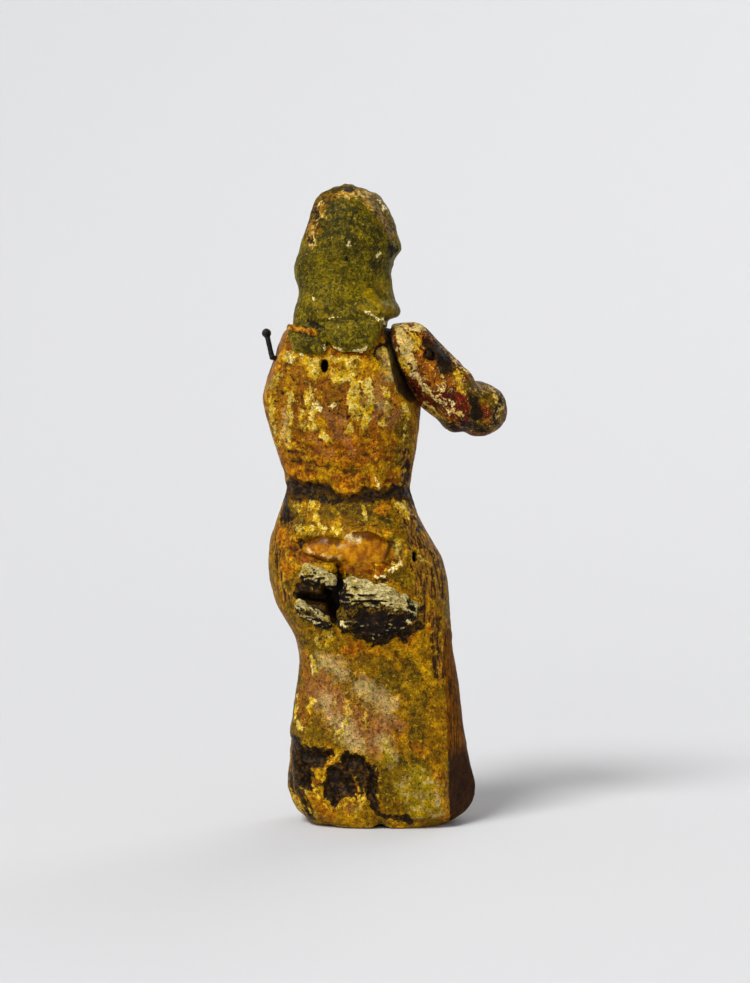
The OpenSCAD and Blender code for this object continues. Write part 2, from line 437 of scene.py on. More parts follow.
OLD_PAINT = 0.75                      # roughness of the layers that lie on top
SHEEN = dict(dark=0.3, glue=0.25)     # roughness of those among them that are smoother
FRAY = 1.0                            # how far fine flaking breaks into the edge of a patch, in mm
OCHRE = srgb(0.64, 0.46, 0.11)
OCHRE_DEEP = srgb(0.46, 0.31, 0.05)
OLIVE = srgb(0.42, 0.32, 0.08)
OLIVE_DARK = srgb(0.22, 0.17, 0.05)
BROWN = srgb(0.42, 0.25, 0.08)
BROWN_DARK = srgb(0.17, 0.095, 0.035)
BLACK = srgb(0.060, 0.040, 0.025)
ORANGE = srgb(0.68, 0.42, 0.09)
ORANGE_DEEP = srgb(0.50, 0.27, 0.05)
YELLOW = srgb(0.80, 0.66, 0.26)
CREAM = srgb(0.88, 0.81, 0.57)
PINK = srgb(0.55, 0.36, 0.22)
PINK_PALE = srgb(0.74, 0.60, 0.42)
CRIMSON = srgb(0.34, 0.08, 0.035)
GREY_CREAM = srgb(0.68, 0.60, 0.38)
LIME = srgb(0.58, 0.49, 0.13)
WOOD_TAN = srgb(0.56, 0.38, 0.16)
WOOD_GREY = srgb(0.40, 0.29, 0.13)
RED_BLACK = srgb(0.16, 0.065, 0.03)
FLESH = srgb(0.74, 0.55, 0.37)
FLESH_DEEP = srgb(0.61, 0.40, 0.24)
STRAW = srgb(0.74, 0.58, 0.18)
TAN = srgb(0.52, 0.33, 0.13)
PINK_BROWN = srgb(0.50, 0.33, 0.18)
GESSO_STAINED = srgb(0.74, 0.59, 0.17)
GESSO = srgb(0.84, 0.75, 0.42)
SOOT = srgb(0.27, 0.18, 0.08)
GLUE = srgb(0.60, 0.36, 0.04)
GLUE_DARK = srgb(0.42, 0.20, 0.03)
HAIR = srgb(0.43, 0.37, 0.07)
HAIR_DEEP = srgb(0.31, 0.27, 0.05)
HAIR_DARK = srgb(0.17, 0.155, 0.045)
HAIR_LIGHT = srgb(0.54, 0.46, 0.15)
HAIR_BLACK = srgb(0.11, 0.105, 0.035)
RIM_DARK = srgb(0.16, 0.12, 0.04)
RIM_WOOD = srgb(0.50, 0.35, 0.11)
RIM_STAINED = srgb(0.54, 0.38, 0.11)
RIM_GESSO = srgb(0.74, 0.65, 0.38)
ASH = srgb(0.52, 0.44, 0.28)
ASH_DARK = srgb(0.22, 0.18, 0.10)


def specks(paint, cell, level, colour, strength=0.8, stretch=(1, 1, 1)):
    """Fine dirt or bare spots where a fine noise passes a level; a higher level gives fewer."""
    paint.cover(paint.span(paint.noise(cell, 2.0, stretch), level, level + 0.05), colour, strength)


def painted_wood():
    """Tunic, sash band and skirt: old ochre paint over gesso over wood."""
    paint = Paint("painted_wood", OCHRE)
    tall = (1, 1, 1.7)
    skirt = paint.mottle(OCHRE_DEEP, OCHRE, 1.8, 0.45, 0.66)
    skirt = paint.blend(paint.span(paint.noise(5.0, 5.0), 0.5, 0.6), skirt, OLIVE)
    tunic = paint.mottle(BROWN, OCHRE, 2.4, 0.42, 0.56, tall)
    tunic = paint.blend(paint.span(paint.noise(2.6, 5.0, tall), 0.52, 0.58), tunic, ORANGE_DEEP)
    paint.colour = paint.blend(paint.span(paint.field("tunic"), -0.4, 0.4), skirt, tunic)
    grain = paint.noise(0.55, 3.0, (1, 1, 14))
    wood = paint.blend(paint.span(grain, 0.42, 0.58), WOOD_GREY, WOOD_TAN)
    wood = paint.blend(paint.span(grain, 0.47, 0.40), wood, BROWN_DARK)
    wood = paint.blend(paint.span(paint.noise(1.3, 3.0, (1, 1, 12)), 0.46, 0.41), wood, BROWN_DARK)
    # the knife-flat right side of the skirt: partly the wood's own brown, partly painted shade of the side
    # turned from the light, darker towards its foot
    facet = paint.blend(paint.span(paint.field("facet_foot"), -3, 3), BROWN, RED_BLACK)
    facet = paint.blend(paint.span(grain, 0.48, 0.4), facet, BROWN_DARK)
    layers = [  # field, colour, raggedness, lump size, softness, strength, thickness
        ("olive", paint.mottle(OLIVE, OLIVE_DARK, 1.8, 0.45, 0.6), 0.9, 2.2, 0.5, 0.85, 0.0),
        ("orange", paint.mottle(ORANGE, ORANGE_DEEP, 1.4, 0.44, 0.56), 0.7, 1.8, 0.25, 0.9, 0.05),
        ("bright", paint.mottle(OCHRE, STRAW, 1.0, 0.46, 0.64), 0.9, 1.6, 0.5, 0.65, 0.03),
        ("brown", paint.mottle(TAN, BROWN_DARK, 1.4, 0.5, 0.66), 0.7, 1.5, 0.3, 0.85, -0.04),
        ("pink", paint.mottle(PINK, PINK_BROWN, 1.2, 0.48, 0.6), 0.9, 1.8, 1.4, 0.8, 0.0),
        ("pale", paint.mottle(GREY_CREAM, PINK_PALE, 1.8, 0.45, 0.6), 0.9, 1.1, 1.5, 0.7, 0.0),
        ("lime", paint.mottle(LIME, GREY_CREAM, 1.6, 0.48, 0.62), 0.8, 1.6, 1.2, 0.75, 0.0),
        ("bare", wood, 0.7, 2.0, 0.3, 0.95, -0.06),
        ("cream", paint.mottle(GESSO_STAINED, GESSO, 1.2, 0.42, 0.6), 0.8, 1.3, 0.3, 0.86, 0.1),
    ]
    later = [  # what lies over the painted shade and dirt of the creases
        ("belt", paint.mottle(BROWN_DARK, OLIVE_DARK, 1.5, 0.45, 0.58), 0.6, 1.4, 0.3, 0.85, 0.0),
        ("facet", facet, 0.25, 1.2, 0.15, 0.95, 0.0),
        ("dark", paint.mottle(BLACK, SOOT, 1.0, 0.47, 0.62), 0.5, 1.3, 0.2, 0.97, -0.05),
        ("glue", paint.mottle(GLUE, GLUE_DARK, 1.6, 0.44, 0.58), 0.4, 1.2, 0.3, 0.9, 0.1),
        ("crumbs", paint.mottle(ORANGE_DEEP, YELLOW, 0.9, 0.44, 0.6), 0.35, 0.9, 0.1, 0.9, 0.08),
        ("flake", paint.mottle(CREAM, YELLOW, 0.7, 0.5, 0.64), 0.3, 0.6, 0.08, 1.0, 0.08),
    ]
    paint.lay(layers)
    specks(paint, 0.5, 0.57, BROWN_DARK, 0.7)
    specks(paint, 0.8, 0.62, YELLOW, 0.4)
    # painted shade and dirt darken the creases and hollows; wear shows along the edges
    paint.shade_dirt_and_wear(BROWN_DARK, paint.mottle(YELLOW, OCHRE, 0.9))
    paint.lay(later, SHEEN)
    # painted shade: the small holes are painted black inside
    paint.cover(paint.span(paint.field("pit"), -0.2, 0.1), BLACK)
    broken = paint.span(paint.noise(3.0, 3.0), 0.5, 0.56)
    crack = paint.math("MULTIPLY", paint.cracks(3.6, 0.008, (1, 1, 1.3)), broken)
    paint.cover(crack, BROWN_DARK, 0.8, lift=-0.12)
    paint.grit()
    # painted shade: black in the hollows and on the shoulder's flat face behind the sleeve
    paint.cover(paint.span(paint.field("cavity_shade"), 0.1, 1.2), BLACK, 0.9)
    paint.raise_by(paint.noise(0.5, 4.0), 0.2)
    paint.raise_by(paint.noise(1.8, 5.0), 0.45)
    paint.raise_by(grain, 0.06)
    return paint.done()


def painted_hair():
    """Finely speckled olive paint on the hair, flaked to gesso and wood at the crown; flesh on the face."""
    paint = Paint("painted_hair", OLIVE)
    paint.colour = paint.mottle(HAIR, HAIR_DEEP, 3.0, 0.42, 0.58)
    paint.cover(paint.span(paint.noise(0.7, 4.0), 0.48, 0.56), HAIR_DARK, 0.7)
    paint.cover(paint.span(paint.noise(0.55, 3.0), 0.54, 0.62), HAIR_LIGHT, 0.7)
    shade = paint.ragged("shade", 1.0, 3.0, 2.0)
    shade = paint.math("MULTIPLY", shade, paint.span(paint.noise(1.1), 0.4, 0.55))
    paint.cover(shade, HAIR_BLACK, 0.8)
    for name, edge, colours, strength, lift in (
            ("lime", (0.9, 1.2, 0.5), (LIME, OLIVE, 0.7), 0.65, 0.0),
            ("rim", (0.8, 1.4, 0.3), (RIM_DARK, RIM_WOOD, 1.2, 0.42, 0.6), 0.9, -0.1),
            ("cream", (0.6, 0.9, 0.12), (RIM_STAINED, RIM_GESSO, 1.0, 0.46, 0.6), 0.95, 0.05),
            ("ash", (0.6, 1.0, 0.3), (ASH_DARK, ASH, 0.8), 0.9, 0.0)):
        paint.cover(paint.ragged(name, *edge), paint.mottle(*colours), strength, lift=lift)
    paint.cover(paint.ragged("flake", 0.3, 0.6, 0.08), CREAM, 1.0, lift=0.08)
    bare = paint.span(paint.field("skin"), -0.25, 0.25)
    paint.cover(bare, paint.mottle(FLESH, FLESH_DEEP, 4.0, 0.4, 0.7), 1.0, 0.45)
    paint.cover(paint.span(paint.field("blush"), 0.0, 1.0), srgb(0.66, 0.33, 0.22), 0.5)
    worn = paint.math("MULTIPLY", bare, paint.span(paint.noise(1.4, 5.0), 0.58, 0.62))
    paint.cover(worn, paint.mottle(CREAM, BROWN, 0.8, 0.46, 0.56), 0.85, lift=-0.08)
    for name, edge, colour, strength, rough in (
            ("eye_white", 0.08, srgb(0.80, 0.75, 0.60), 0.95, 0.4),
            ("iris", 0.07, srgb(0.12, 0.07, 0.03), 0.95, 0.3),
            ("line", 0.07, srgb(0.20, 0.11, 0.05), 0.9, None),
            ("lips", 0.15, srgb(0.52, 0.18, 0.12), 0.75, 0.45)):
        paint.cover(paint.span(paint.field(name), -edge, edge), colour, strength, rough)
    paint.cover(paint.ragged("dark", 0.45, 0.9, 0.15), BLACK, 0.95, lift=-0.05)
    paint.cover(paint.ragged("orange", 0.35, 0.8, 0.15), paint.mottle(ORANGE, BROWN, 0.7, 0.46, 0.56))
    # painted shade and dirt in the creases, wear along the edges
    paint.shade_dirt_and_wear(srgb(0.11, 0.09, 0.035), paint.mottle(LIME, GREY_CREAM, 0.9), 0.7, 0.35)
    specks(paint, 0.8, 0.66, GREY_CREAM, 0.5)
    paint.grit(0.8)
    # painted shade: black down the crown's bore
    paint.cover(paint.span(paint.field("cavity_shade"), 0.1, 1.0), BLACK, 0.8)
    paint.raise_by(paint.noise(0.5, 3.0), 0.2)
    paint.raise_by(paint.noise(2.2, 4.0), 0.4)
    return paint.done()


def painted_sleeve():
    """Crimson, orange and cream paint on the sleeve, worn through in streaks along it."""
    paint = Paint("painted_sleeve", BROWN, rough=0.5)
    paint.colour = paint.mottle(BROWN, srgb(0.27, 0.12, 0.05), 1.8, 0.44, 0.56)
    layers = [  # field, colour, raggedness, lump size, softness, strength, thickness
        ("olive", paint.mottle(OLIVE_DARK, OLIVE, 1.0, 0.45, 0.58), 0.9, 1.6, 0.35, 0.9, 0.0),
        ("orange", paint.mottle(ORANGE_DEEP, ORANGE, 1.0, 0.48, 0.6), 0.7, 1.3, 0.2, 0.9, 0.03),
        ("crimson", paint.mottle(CRIMSON, srgb(0.24, 0.09, 0.04), 1.3, 0.48, 0.6), 0.6, 1.2, 0.2, 0.92, 0.0),
        ("pale", paint.mottle(srgb(0.80, 0.70, 0.46), srgb(0.82, 0.68, 0.34), 0.9, 0.45, 0.56),
         0.7, 0.9, 0.15, 0.88, 0.06),
        ("yellow", paint.mottle(YELLOW, OCHRE, 0.8, 0.45, 0.56), 0.6, 0.8, 0.15, 0.9, 0.03),
        ("flake", paint.mottle(CREAM, PINK_PALE, 0.6, 0.45, 0.56), 0.3, 0.5, 0.06, 0.95, 0.07),
    ]
    paint.lay(layers)
    specks(paint, 0.5, 0.58, BROWN_DARK, 0.7)
    specks(paint, 0.6, 0.63, CREAM, 0.35)
    scratches = paint.cracks(2.6, 0.02, (1, 1, 1.6))
    scratches = paint.math("MULTIPLY", scratches, paint.span(paint.noise(2.0, 3.0), 0.5, 0.56))
    paint.cover(scratches, paint.mottle(CREAM, ORANGE, 1.2), 0.7, lift=0.06)
    # painted shade and dirt in the creases, wear along the edges
    paint.shade_dirt_and_wear(BROWN_DARK, paint.mottle(CREAM, ORANGE, 0.7), 0.8, 0.3)
    # the dark field is dark patches and painted shade along the gap between sleeve and body
    dark = paint.ragged("dark", 0.5, 1.1, 0.25)
    paint.cover(dark, paint.mottle(BLACK, BROWN_DARK, 0.9, 0.5, 0.62), 0.93, lift=-0.05)
    paint.grit()
    # painted shade: black at the pin's hole and on the sleeve's flat inner face
    paint.cover(paint.span(paint.field("cavity_shade"), 0.1, 0.9), BLACK, 0.9)
    paint.raise_by(paint.noise(0.45, 4.0), 0.18)
    paint.raise_by(paint.noise(1.8, 5.0), 0.4)
    return paint.done()


def painted_skin():
    """Flesh paint on the hand, rubbed pale on the knuckles, with painted shade between the fingers."""
    paint = Paint("painted_skin", FLESH, rough=0.5)
    paint.colour = paint.mottle(FLESH, FLESH_DEEP, 2.0, 0.4, 0.7)
    rubbed = paint.span(paint.noise(0.9, 4.0), 0.6, 0.66)
    paint.cover(rubbed, paint.mottle(CREAM, BROWN, 0.8), 0.8, 0.6, -0.04)
    # painted shade: dark in the gaps between the fingers
    paint.cover(paint.span(paint.field("cavity_shade"), 0.05, 0.6), BROWN_DARK, 0.8)
    specks(paint, 0.4, 0.6, BROWN_DARK, 0.5)
    paint.grit(0.6)
    paint.raise_by(paint.noise(0.4, 3.0), 0.08)
    return paint.done()


def gessoed_cloth():
    """Frayed cloth stiff with gesso: pale and fibrous on top, black-brown where the gesso is gone and, as
    painted shade, on the undersides.
    """
    paint = Paint("gessoed_cloth", CREAM, rough=0.75)
    fibre = paint.noise(0.35, 4.0, (4, 1, 1), warp=0.6)
    paint.colour = paint.mottle(srgb(0.80, 0.74, 0.54), srgb(0.64, 0.57, 0.34), 1.0, 0.42, 0.58)
    paint.cover(paint.span(fibre, 0.47, 0.4), OLIVE_DARK, 0.65)
    paint.cover(paint.span(paint.noise(0.8, 4.0), 0.56, 0.62), OLIVE, 0.75, lift=-0.1)
    paint.cover(paint.ragged("lime", 0.6, 0.9, 0.4), LIME, 0.6)
    # the dark field is black-brown cloth, and painted shade on the undersides
    dark = paint.ragged("dark", 0.6, 1.0, 0.15)
    paint.cover(dark, paint.mottle(BLACK, BROWN_DARK, 1.4, 0.5, 0.64), 1.0, 0.45)
    olive = paint.ragged("olive", 0.6, 0.9, 0.3)
    olive = paint.math("MULTIPLY", olive, paint.span(paint.noise(0.6, 4.0), 0.45, 0.55))
    paint.cover(olive, OLIVE, 0.8)
    paint.cover(paint.ragged("flake", 0.25, 0.5, 0.06), CREAM, lift=0.05)
    # painted shade and dirt in the creases, wear along the edges
    paint.shade_dirt_and_wear(BROWN_DARK, CREAM, 0.8, 0.4)
    paint.grit(0.8)
    paint.raise_by(fibre, 0.3)
    paint.raise_by(paint.noise(0.9, 5.0), 0.4)
    return paint.done()


def amber_resin():
    """Old glue: deep amber where it is thick, pale painted highlights on it, red-brown at its rim."""
    paint = Paint("amber_resin", ORANGE, rough=0.15, spec=0.14)
    paint.colour = paint.mottle(srgb(0.70, 0.46, 0.05), srgb(0.56, 0.31, 0.02), 2.6, 0.42, 0.58)
    paint.cover(paint.span(paint.noise(4.0, 4.0), 0.52, 0.62), srgb(0.72, 0.52, 0.10), 0.6)
    paint.cover(paint.ragged("edge", 0.5, 1.4, 0.5), srgb(0.25, 0.10, 0.02), 0.85)
    # painted highlights: pale patches where light glints on the glue
    paint.cover(paint.ragged("painted_glint", 0.5, 1.2, 0.5), srgb(0.86, 0.76, 0.52), 0.85)
    specks(paint, 0.5, 0.6, BROWN, 0.6)
    # painted shade and dirt in the creases, wear along the edges
    paint.shade_dirt_and_wear(srgb(0.24, 0.11, 0.03), YELLOW, 0.6, 0.4)
    paint.grit(0.5)
    paint.raise_by(paint.noise(2.4, 4.0), 0.5)
    paint.raise_by(paint.noise(0.6, 2.0), 0.05)
    return paint.done()


def black_iron():
    """Hand-made iron pin: nearly black, with a little rust in its pits."""
    paint = Paint("black_iron", BLACK, rough=0.5, spec=0.3)
    paint.shader.inputs["Metallic"].default_value = 0.4
    paint.colour = paint.mottle(srgb(0.06, 0.055, 0.05), srgb(0.13, 0.12, 0.11), 0.8, 0.4, 0.7)
    paint.cover(paint.span(paint.noise(0.5, 4.0), 0.58, 0.7), srgb(0.28, 0.13, 0.06), 0.7, 0.8, 0.02)
    paint.raise_by(paint.noise(0.35, 4.0), 0.08)
    return paint.done()


def stained_iron():
    """The pin in the sleeve, its head smeared with old brown paint."""
    paint = Paint("stained_iron", BROWN_DARK, rough=0.7)
    paint.colour = paint.mottle(srgb(0.12, 0.07, 0.035), BROWN, 0.9, 0.5, 0.66)
    paint.raise_by(paint.noise(0.4, 4.0), 0.15)
    return paint.done()


def bare_wood():
    """Whittled dowel: straight grain, a few dark pores."""
    paint = Paint("bare_wood", WOOD_TAN, rough=0.7)
    grain = paint.noise(0.4, 3.0, (1, 1, 12))
    paint.colour = paint.blend(paint.span(grain, 0.35, 0.65), WOOD_TAN, BROWN)
    specks(paint, 0.3, 0.66, BROWN_DARK, 0.7, (1, 1, 8))
    paint.raise_by(grain, 0.08)
    return paint.done()


# ---------------------------------------------------------------- paint and relief on the body

# Back of the figure. Every list is one kind of paint or wear, and the dark list holds painted shade too.
BODY_STROKES = {
    "cream": [
        (1.6, 17, 109.5, 15.8, 106.6), (0.9, 12.6, 109.4, 6.4, 109.8), (0.8, 8.6, 109.6, 7, 106.5),
        (1.2, 11.2, 106, 7.4, 104.4), (0.6, 21.8, 101.4, 21, 96, 21.4, 90), (0.8, 16.8, 102.6, 16, 93.4),
        (1.3, 6.6, 103, 5.6, 97), (0.3, 18.8, 98, 18.2, 93.6), (0.8, 4, 105, 2.6, 100, 3.8, 94),
        (0.5, -1, 102.4, -2.2, 98.5, 0.2, 95), (0.6, -5.8, 99.4, -6.2, 96.6), (0.25, -5.6, 96, -4.8, 91),
        (0.7, 13.4, 92.2, 13, 91), (0.6, 26.4, 101, 26, 95, 24.6, 90), (0.6, 23.6, 110.4, 21, 110.8),
        (0.6, 7.6, 94.4, 7.2, 93), (0.8, -1.6, 112, -2.4, 108.4), (0.7, 25, 106, 26.4, 103.4),
        (0.8, 16.4, 77.6, 16.4, 76.4, 15.8, 74, 14.8, 71, 14.4, 69.8), (0.6, 19.6, 75.6, 19.4, 73.6),
        (0.4, 12.6, 77.6, 13.8, 77.8), (0.5, 4.6, 75.2, 3.8, 73.6), (0.7, -3.8, 75.8, -5.8, 73),
        (1, 11.6, 69.8, 10.2, 69.4), (0.3, -9.8, 63, -11, 62.4), (0.6, -3.4, 66.8, -3.6, 63.4),
        (0.7, 19.6, 70.8, 17, 70.2), (0.5, 15.4, 45, 14.8, 42.6), (0.4, 16.8, 39.6, 15.6, 37),
        (0.7, 16.2, 30.8, 16.8, 28.4), (0.5, 19.4, 24.4, 19, 23.2), (0.35, 20.6, 30, 20.8, 24),
        (0.45, 9, 31.6, 8.2, 28, 8.8, 25.4, 10.4, 22), (0.35, 4.4, 27, 3.8, 23.8),
        (0.4, 5.6, 12.6, 5.2, 9, 6.4, 6.4, 6.2, 3.4), (0.5, 3.8, 7.6, 5.4, 5.6),
        (0.35, 20.8, 15, 19.8, 11, 17.6, 6, 15.6, 2.6), (0.3, 21.8, 12, 21, 6.4, 19, 3),
        (0.5, -8, 53.2, -6.4, 51), (0.3, 1, 45.4, -1.6, 44.6), (0.4, 13.6, 47.4, 12.4, 42.4),
    ],
    "flake": [
        (0.6, 19.5, 112, 18.9, 110.9), (0.35, 15.6, 116.4, 12.2, 114, 8, 114.9, 5, 114.8, 3.6, 113.2),
        (0.5, 7.2, 114.6, 5.4, 114.2), (0.8, 6, 113, 4.6, 112.8), (0.5, 22.6, 111.2, 21.8, 110.2),
        (0.25, 12, 98.6, 10.4, 98.8), (0.3, 15.6, 99.2, 15.2, 97.4), (0.4, 1.6, 82, 0.4, 80.4),
        (0.35, -1.8, 60.6, -4.2, 61.6), (0.35, 1.4, 59.4, -1.2, 58.8), (0.3, 16.6, 37.6, 16, 36.4),
        (0.3, -2.2, 46.6, -3.2, 46.8),
    ],
    "pale": [
        (2, 13, 38.6, 9.4, 36.4), (2.2, 4.6, 33, -1.4, 29), (2, 9.8, 25, 6.6, 20),
        (1.2, -1.4, 111, -2.2, 106), (1.4, 13.6, 30, 12, 26), (1.2, 1.2, 20.6, -1.6, 18.8),
        (0.7, 3.4, 100.6, -1.2, 99), (0.7, 22.6, 96.6, 22.6, 91.6),
    ],
    "pink": [
        (3, 14.6, 33, 10.4, 29.6), (3.8, 7.6, 26.4, 1.4, 22.4), (1.8, 2.4, 19.6, 0.4, 18),
        (1.8, 1, 26, -4, 24.6), (1.5, 0.8, 103, -0.8, 97), (0.9, 2.6, 101, 2.2, 96),
        (1.4, 9.6, 93, 7, 88.6), (1.1, 16, 91, 13, 87), (1.2, 14.4, 97.4, 9.6, 95.4), (1, 10.6, 6, 8, 4.6),
        (1.2, -3.6, 97.4, -1.4, 94.6),
    ],
    "orange": [
        (1.3, 24.2, 115, 26, 108, 26.8, 103), (0.9, 12.6, 112.8, 9.2, 112.4), (0.7, 7.6, 111, 4, 110.6),
        (0.8, 2.6, 113.6, 0.4, 115.2), (1.6, 24.8, 91, 23.6, 86, 20, 84), (1.8, 20, 92, 12, 89.6, 3, 90),
        (1.4, 21.4, 83.4, 17.6, 81.6), (1.6, 14.6, 86.6, 4, 86), (1.9, 10.4, 82.4, 8.6, 79),
        (1.2, 6.6, 82, 5.8, 79.6), (0.8, 2.8, 81.6, 0.6, 80.6), (1.1, 0.4, 74.4, -0.6, 74),
        (1.5, 24.4, 69, 21.6, 65, 22.6, 60), (0.8, 19.8, 61.4, 17.8, 60), (1.6, -10, 55, -11.6, 46),
        (1.4, 8, 42, -2, 42.6, -8, 44.6), (1.2, -13.6, 12, -14.6, 3), (1.6, 16, 7.6, 12, 3.4),
        (0.8, -0.6, 23.6, -4.6, 20.6),
    ],
    "bright": [
        (1.6, 9.4, 108, 2, 107.6), (0.9, 13.6, 84.6, 2, 83.4), (1.5, -9.6, 60, -10.6, 52),
        (1.6, 3, 43.4, -6, 42, -11, 44), (1.4, -8, 40, -12.6, 34), (1.6, 14.4, 8, 10, 4.2, 6.4, 3),
        (0.9, 13.8, 13.4, 15.4, 10.4), (0.9, -6, 33.6, -7, 32), (0.45, 10.9, 18.4, 13, 14.2),
        (0.5, -4.6, 4.2, -5, 1.2), (0.4, -7.6, 4, -7.8, 1.4), (0.9, 20, 41, 17, 35),
        (0.8, 23.4, 100, 23.2, 92), (1.2, 1.6, 108.6, 0.2, 106), (0.8, 24.4, 76, 25.4, 72.6),
    ],
    "olive": [
        (2.4, 20.6, 37, 19.6, 22), (2, -1.6, 37, -9.6, 29), (1.4, -3, 16, -9.6, 15.6),
        (1.6, 0.8, 110, -1.4, 105), (2.2, -3.6, 96.6, -6, 91, -5.2, 86), (1.6, 20, 71.6, 23, 74),
        (2.3, 12, 75, 2, 74.4, -2, 73), (1.3, 22.4, 57.4, 22, 53), (1.6, 5, 33.6, -1.4, 33.2),
        (1.4, -6.4, 39.4, -7.4, 35), (1.9, 17, 24, 19.6, 19.6), (2, 0.2, 14.4, -1, 8),
        (1.6, -8.4, 21.6, -8.2, 26), (1, -4, 2.4, -9, 2.6), (1, 19, 43, 16.6, 46),
        (1, -2.2, 60.4, -5.6, 58), (0.9, 14, 59.6, 18, 57.4), (0.8, 10.6, 49.4, 9, 48),
    ],
    "brown": [
        (1.8, 20.6, 107.6, 18.6, 104.6), (1.2, 24, 106, 22.6, 99), (0.9, 19.2, 97, 18.8, 90),
        (1.9, 13.2, 103, 9.6, 102, 9.4, 98), (1.5, 13.8, 99, 12, 95.6), (1, 18.6, 101, 18.8, 94),
        (1.2, 24.2, 101, 23.8, 95), (0.9, 0.4, 99, 0, 94), (1.2, 1.4, 105.6, -3.6, 103),
        (1.2, -2.6, 101.6, -4.4, 98), (0.9, 21, 89, 18, 87.4), (0.5, 12, 91.4, 6, 92),
        (0.5, 17.2, 85, 13, 84.6), (0.5, 16, 68.8, 9.4, 69.2, 3.4, 70.6, -1.6, 69.6),
        (1.3, 18.4, 40, 17, 33, 17.8, 30), (1.4, 19.8, 31, 18, 25), (0.9, 12.2, 27.2, 13, 22.6),
        (1, -6.4, 20, -9.6, 18), (0.6, 11.4, 50.8, 14.4, 49), (0.9, 21.8, 66, 23.6, 63),
        (0.8, 4.2, 95, 1.2, 88),
    ],
    "lime": [
        (2.6, -8.2, 12.4, -12.2, 8, -12.4, 5), (1.9, -5.6, 10, -8.6, 4.6), (1.2, -0.6, 20, -1.6, 16),
        (0.6, 23.4, 58.6, 22.8, 55), (0.5, 17.6, 61.6, 19, 58.6),
    ],
    # dark patches, and painted shade: black in the void under the bow and the hollows of the hem, a shadow band
    # under the bow's right loop and a streak between neck and sleeve
    "dark": [
        (1.3, 21, 79.6, 17, 78.8), (0.9, 15, 79.4, 12.6, 78.8), (1, 4, 79, -1, 78.4),
        (1.3, -2.4, 78.8, -6, 78), (0.35, 20.6, 77, 9, 76.6), (0.5, 7, 77.6, 2, 76.8),
        (1.3, 23.8, 78, 22.6, 73), (1, -5.4, 84, -7.6, 78), (0.9, 19.6, 66, 19.4, 64.2),
        (0.9, 9.8, 61, 9.6, 58), (3.2, 10.6, 56.4, 10.2, 51), (2.2, 18.8, 54.4, 12, 54),
        (1.4, 17.4, 52.6, 14.6, 51, 10.6, 49.2), (0.9, 18.6, 57, 12.4, 56.2),
        (1.3, 8, 46.4, 2, 44.6, -4, 45.2, -8, 47.6), (0.4, 1.4, 58.6, -2.6, 58),
        (2.2, 19.4, 17, 13.4, 16.8), (2.2, 18.6, 15, 17, 11), (3, 11.4, 11.2, 6.8, 10.8),
        (1.5, 12.8, 9, 10.6, 7.6), (1.8, 7.8, 16, 3.4, 13.6), (1.5, 2.4, 13, 2.2, 5.6),
        (0.8, 2.6, 5.6, -2.2, 2.8, -6, 2.2), (0.6, 21.6, 19.6, 21.6, 15.4),
        (0.8, 21.6, 13, 20, 8.4, 16, 2.2), (0.2, 11.8, 97.6, 4.6, 96.1), (0.2, 27.4, 99.8, 22.6, 102),
        (0.25, -7.6, 76.4, -8.4, 69), (0.5, -9.6, 52, -7, 52.4), (0.5, 2.2, 110.4, -3.4, 116),
        (2.2, 21, 19, 20.4, 11), (2, 9.8, 13.6, 5, 13), (1.4, 17.6, 18.4, 14, 17.6),
    ],
    "bare": [
        (2.8, -8.6, 76, -11.2, 67, -12.8, 56), (2.2, -6, 77.6, -7.6, 69, -9.6, 60),
        (1.4, -8.8, 60, -9.8, 50), (1.2, -12.8, 48, -13.6, 36), (1, 25.2, 68, 24.8, 61, 22.4, 53),
        (1.4, -5.8, 88, -6.6, 82), (1.2, 22.4, 71.4, 21, 70.4),
    ],
    "glue": [(1.3, 9.4, 61.2, 5, 60.6, 0, 60.8), (0.8, 19.4, 64, 18, 62.4), (0.7, -2.4, 65, -3, 62.6)],
    "pit": [(0.7, 13.5, 109.2, 13.5, 107.6), (0.6, -7.8, 64.4, -7.8, 63.2)],
    "crumbs": [
        (0.55, 10, 17.6, 12.6, 14.4, 14.2, 12, 16.2, 10.8, 15.8, 8, 12, 5.2, 6.4, 5.8, 4.6, 8),
        (0.35, 6, 12.8, 5.6, 9.6, 6.8, 6.6), (0.3, 1.4, 60.4, 0.6, 62.6), (0.3, -0.6, 60, -1.6, 61.4),
    ],
}
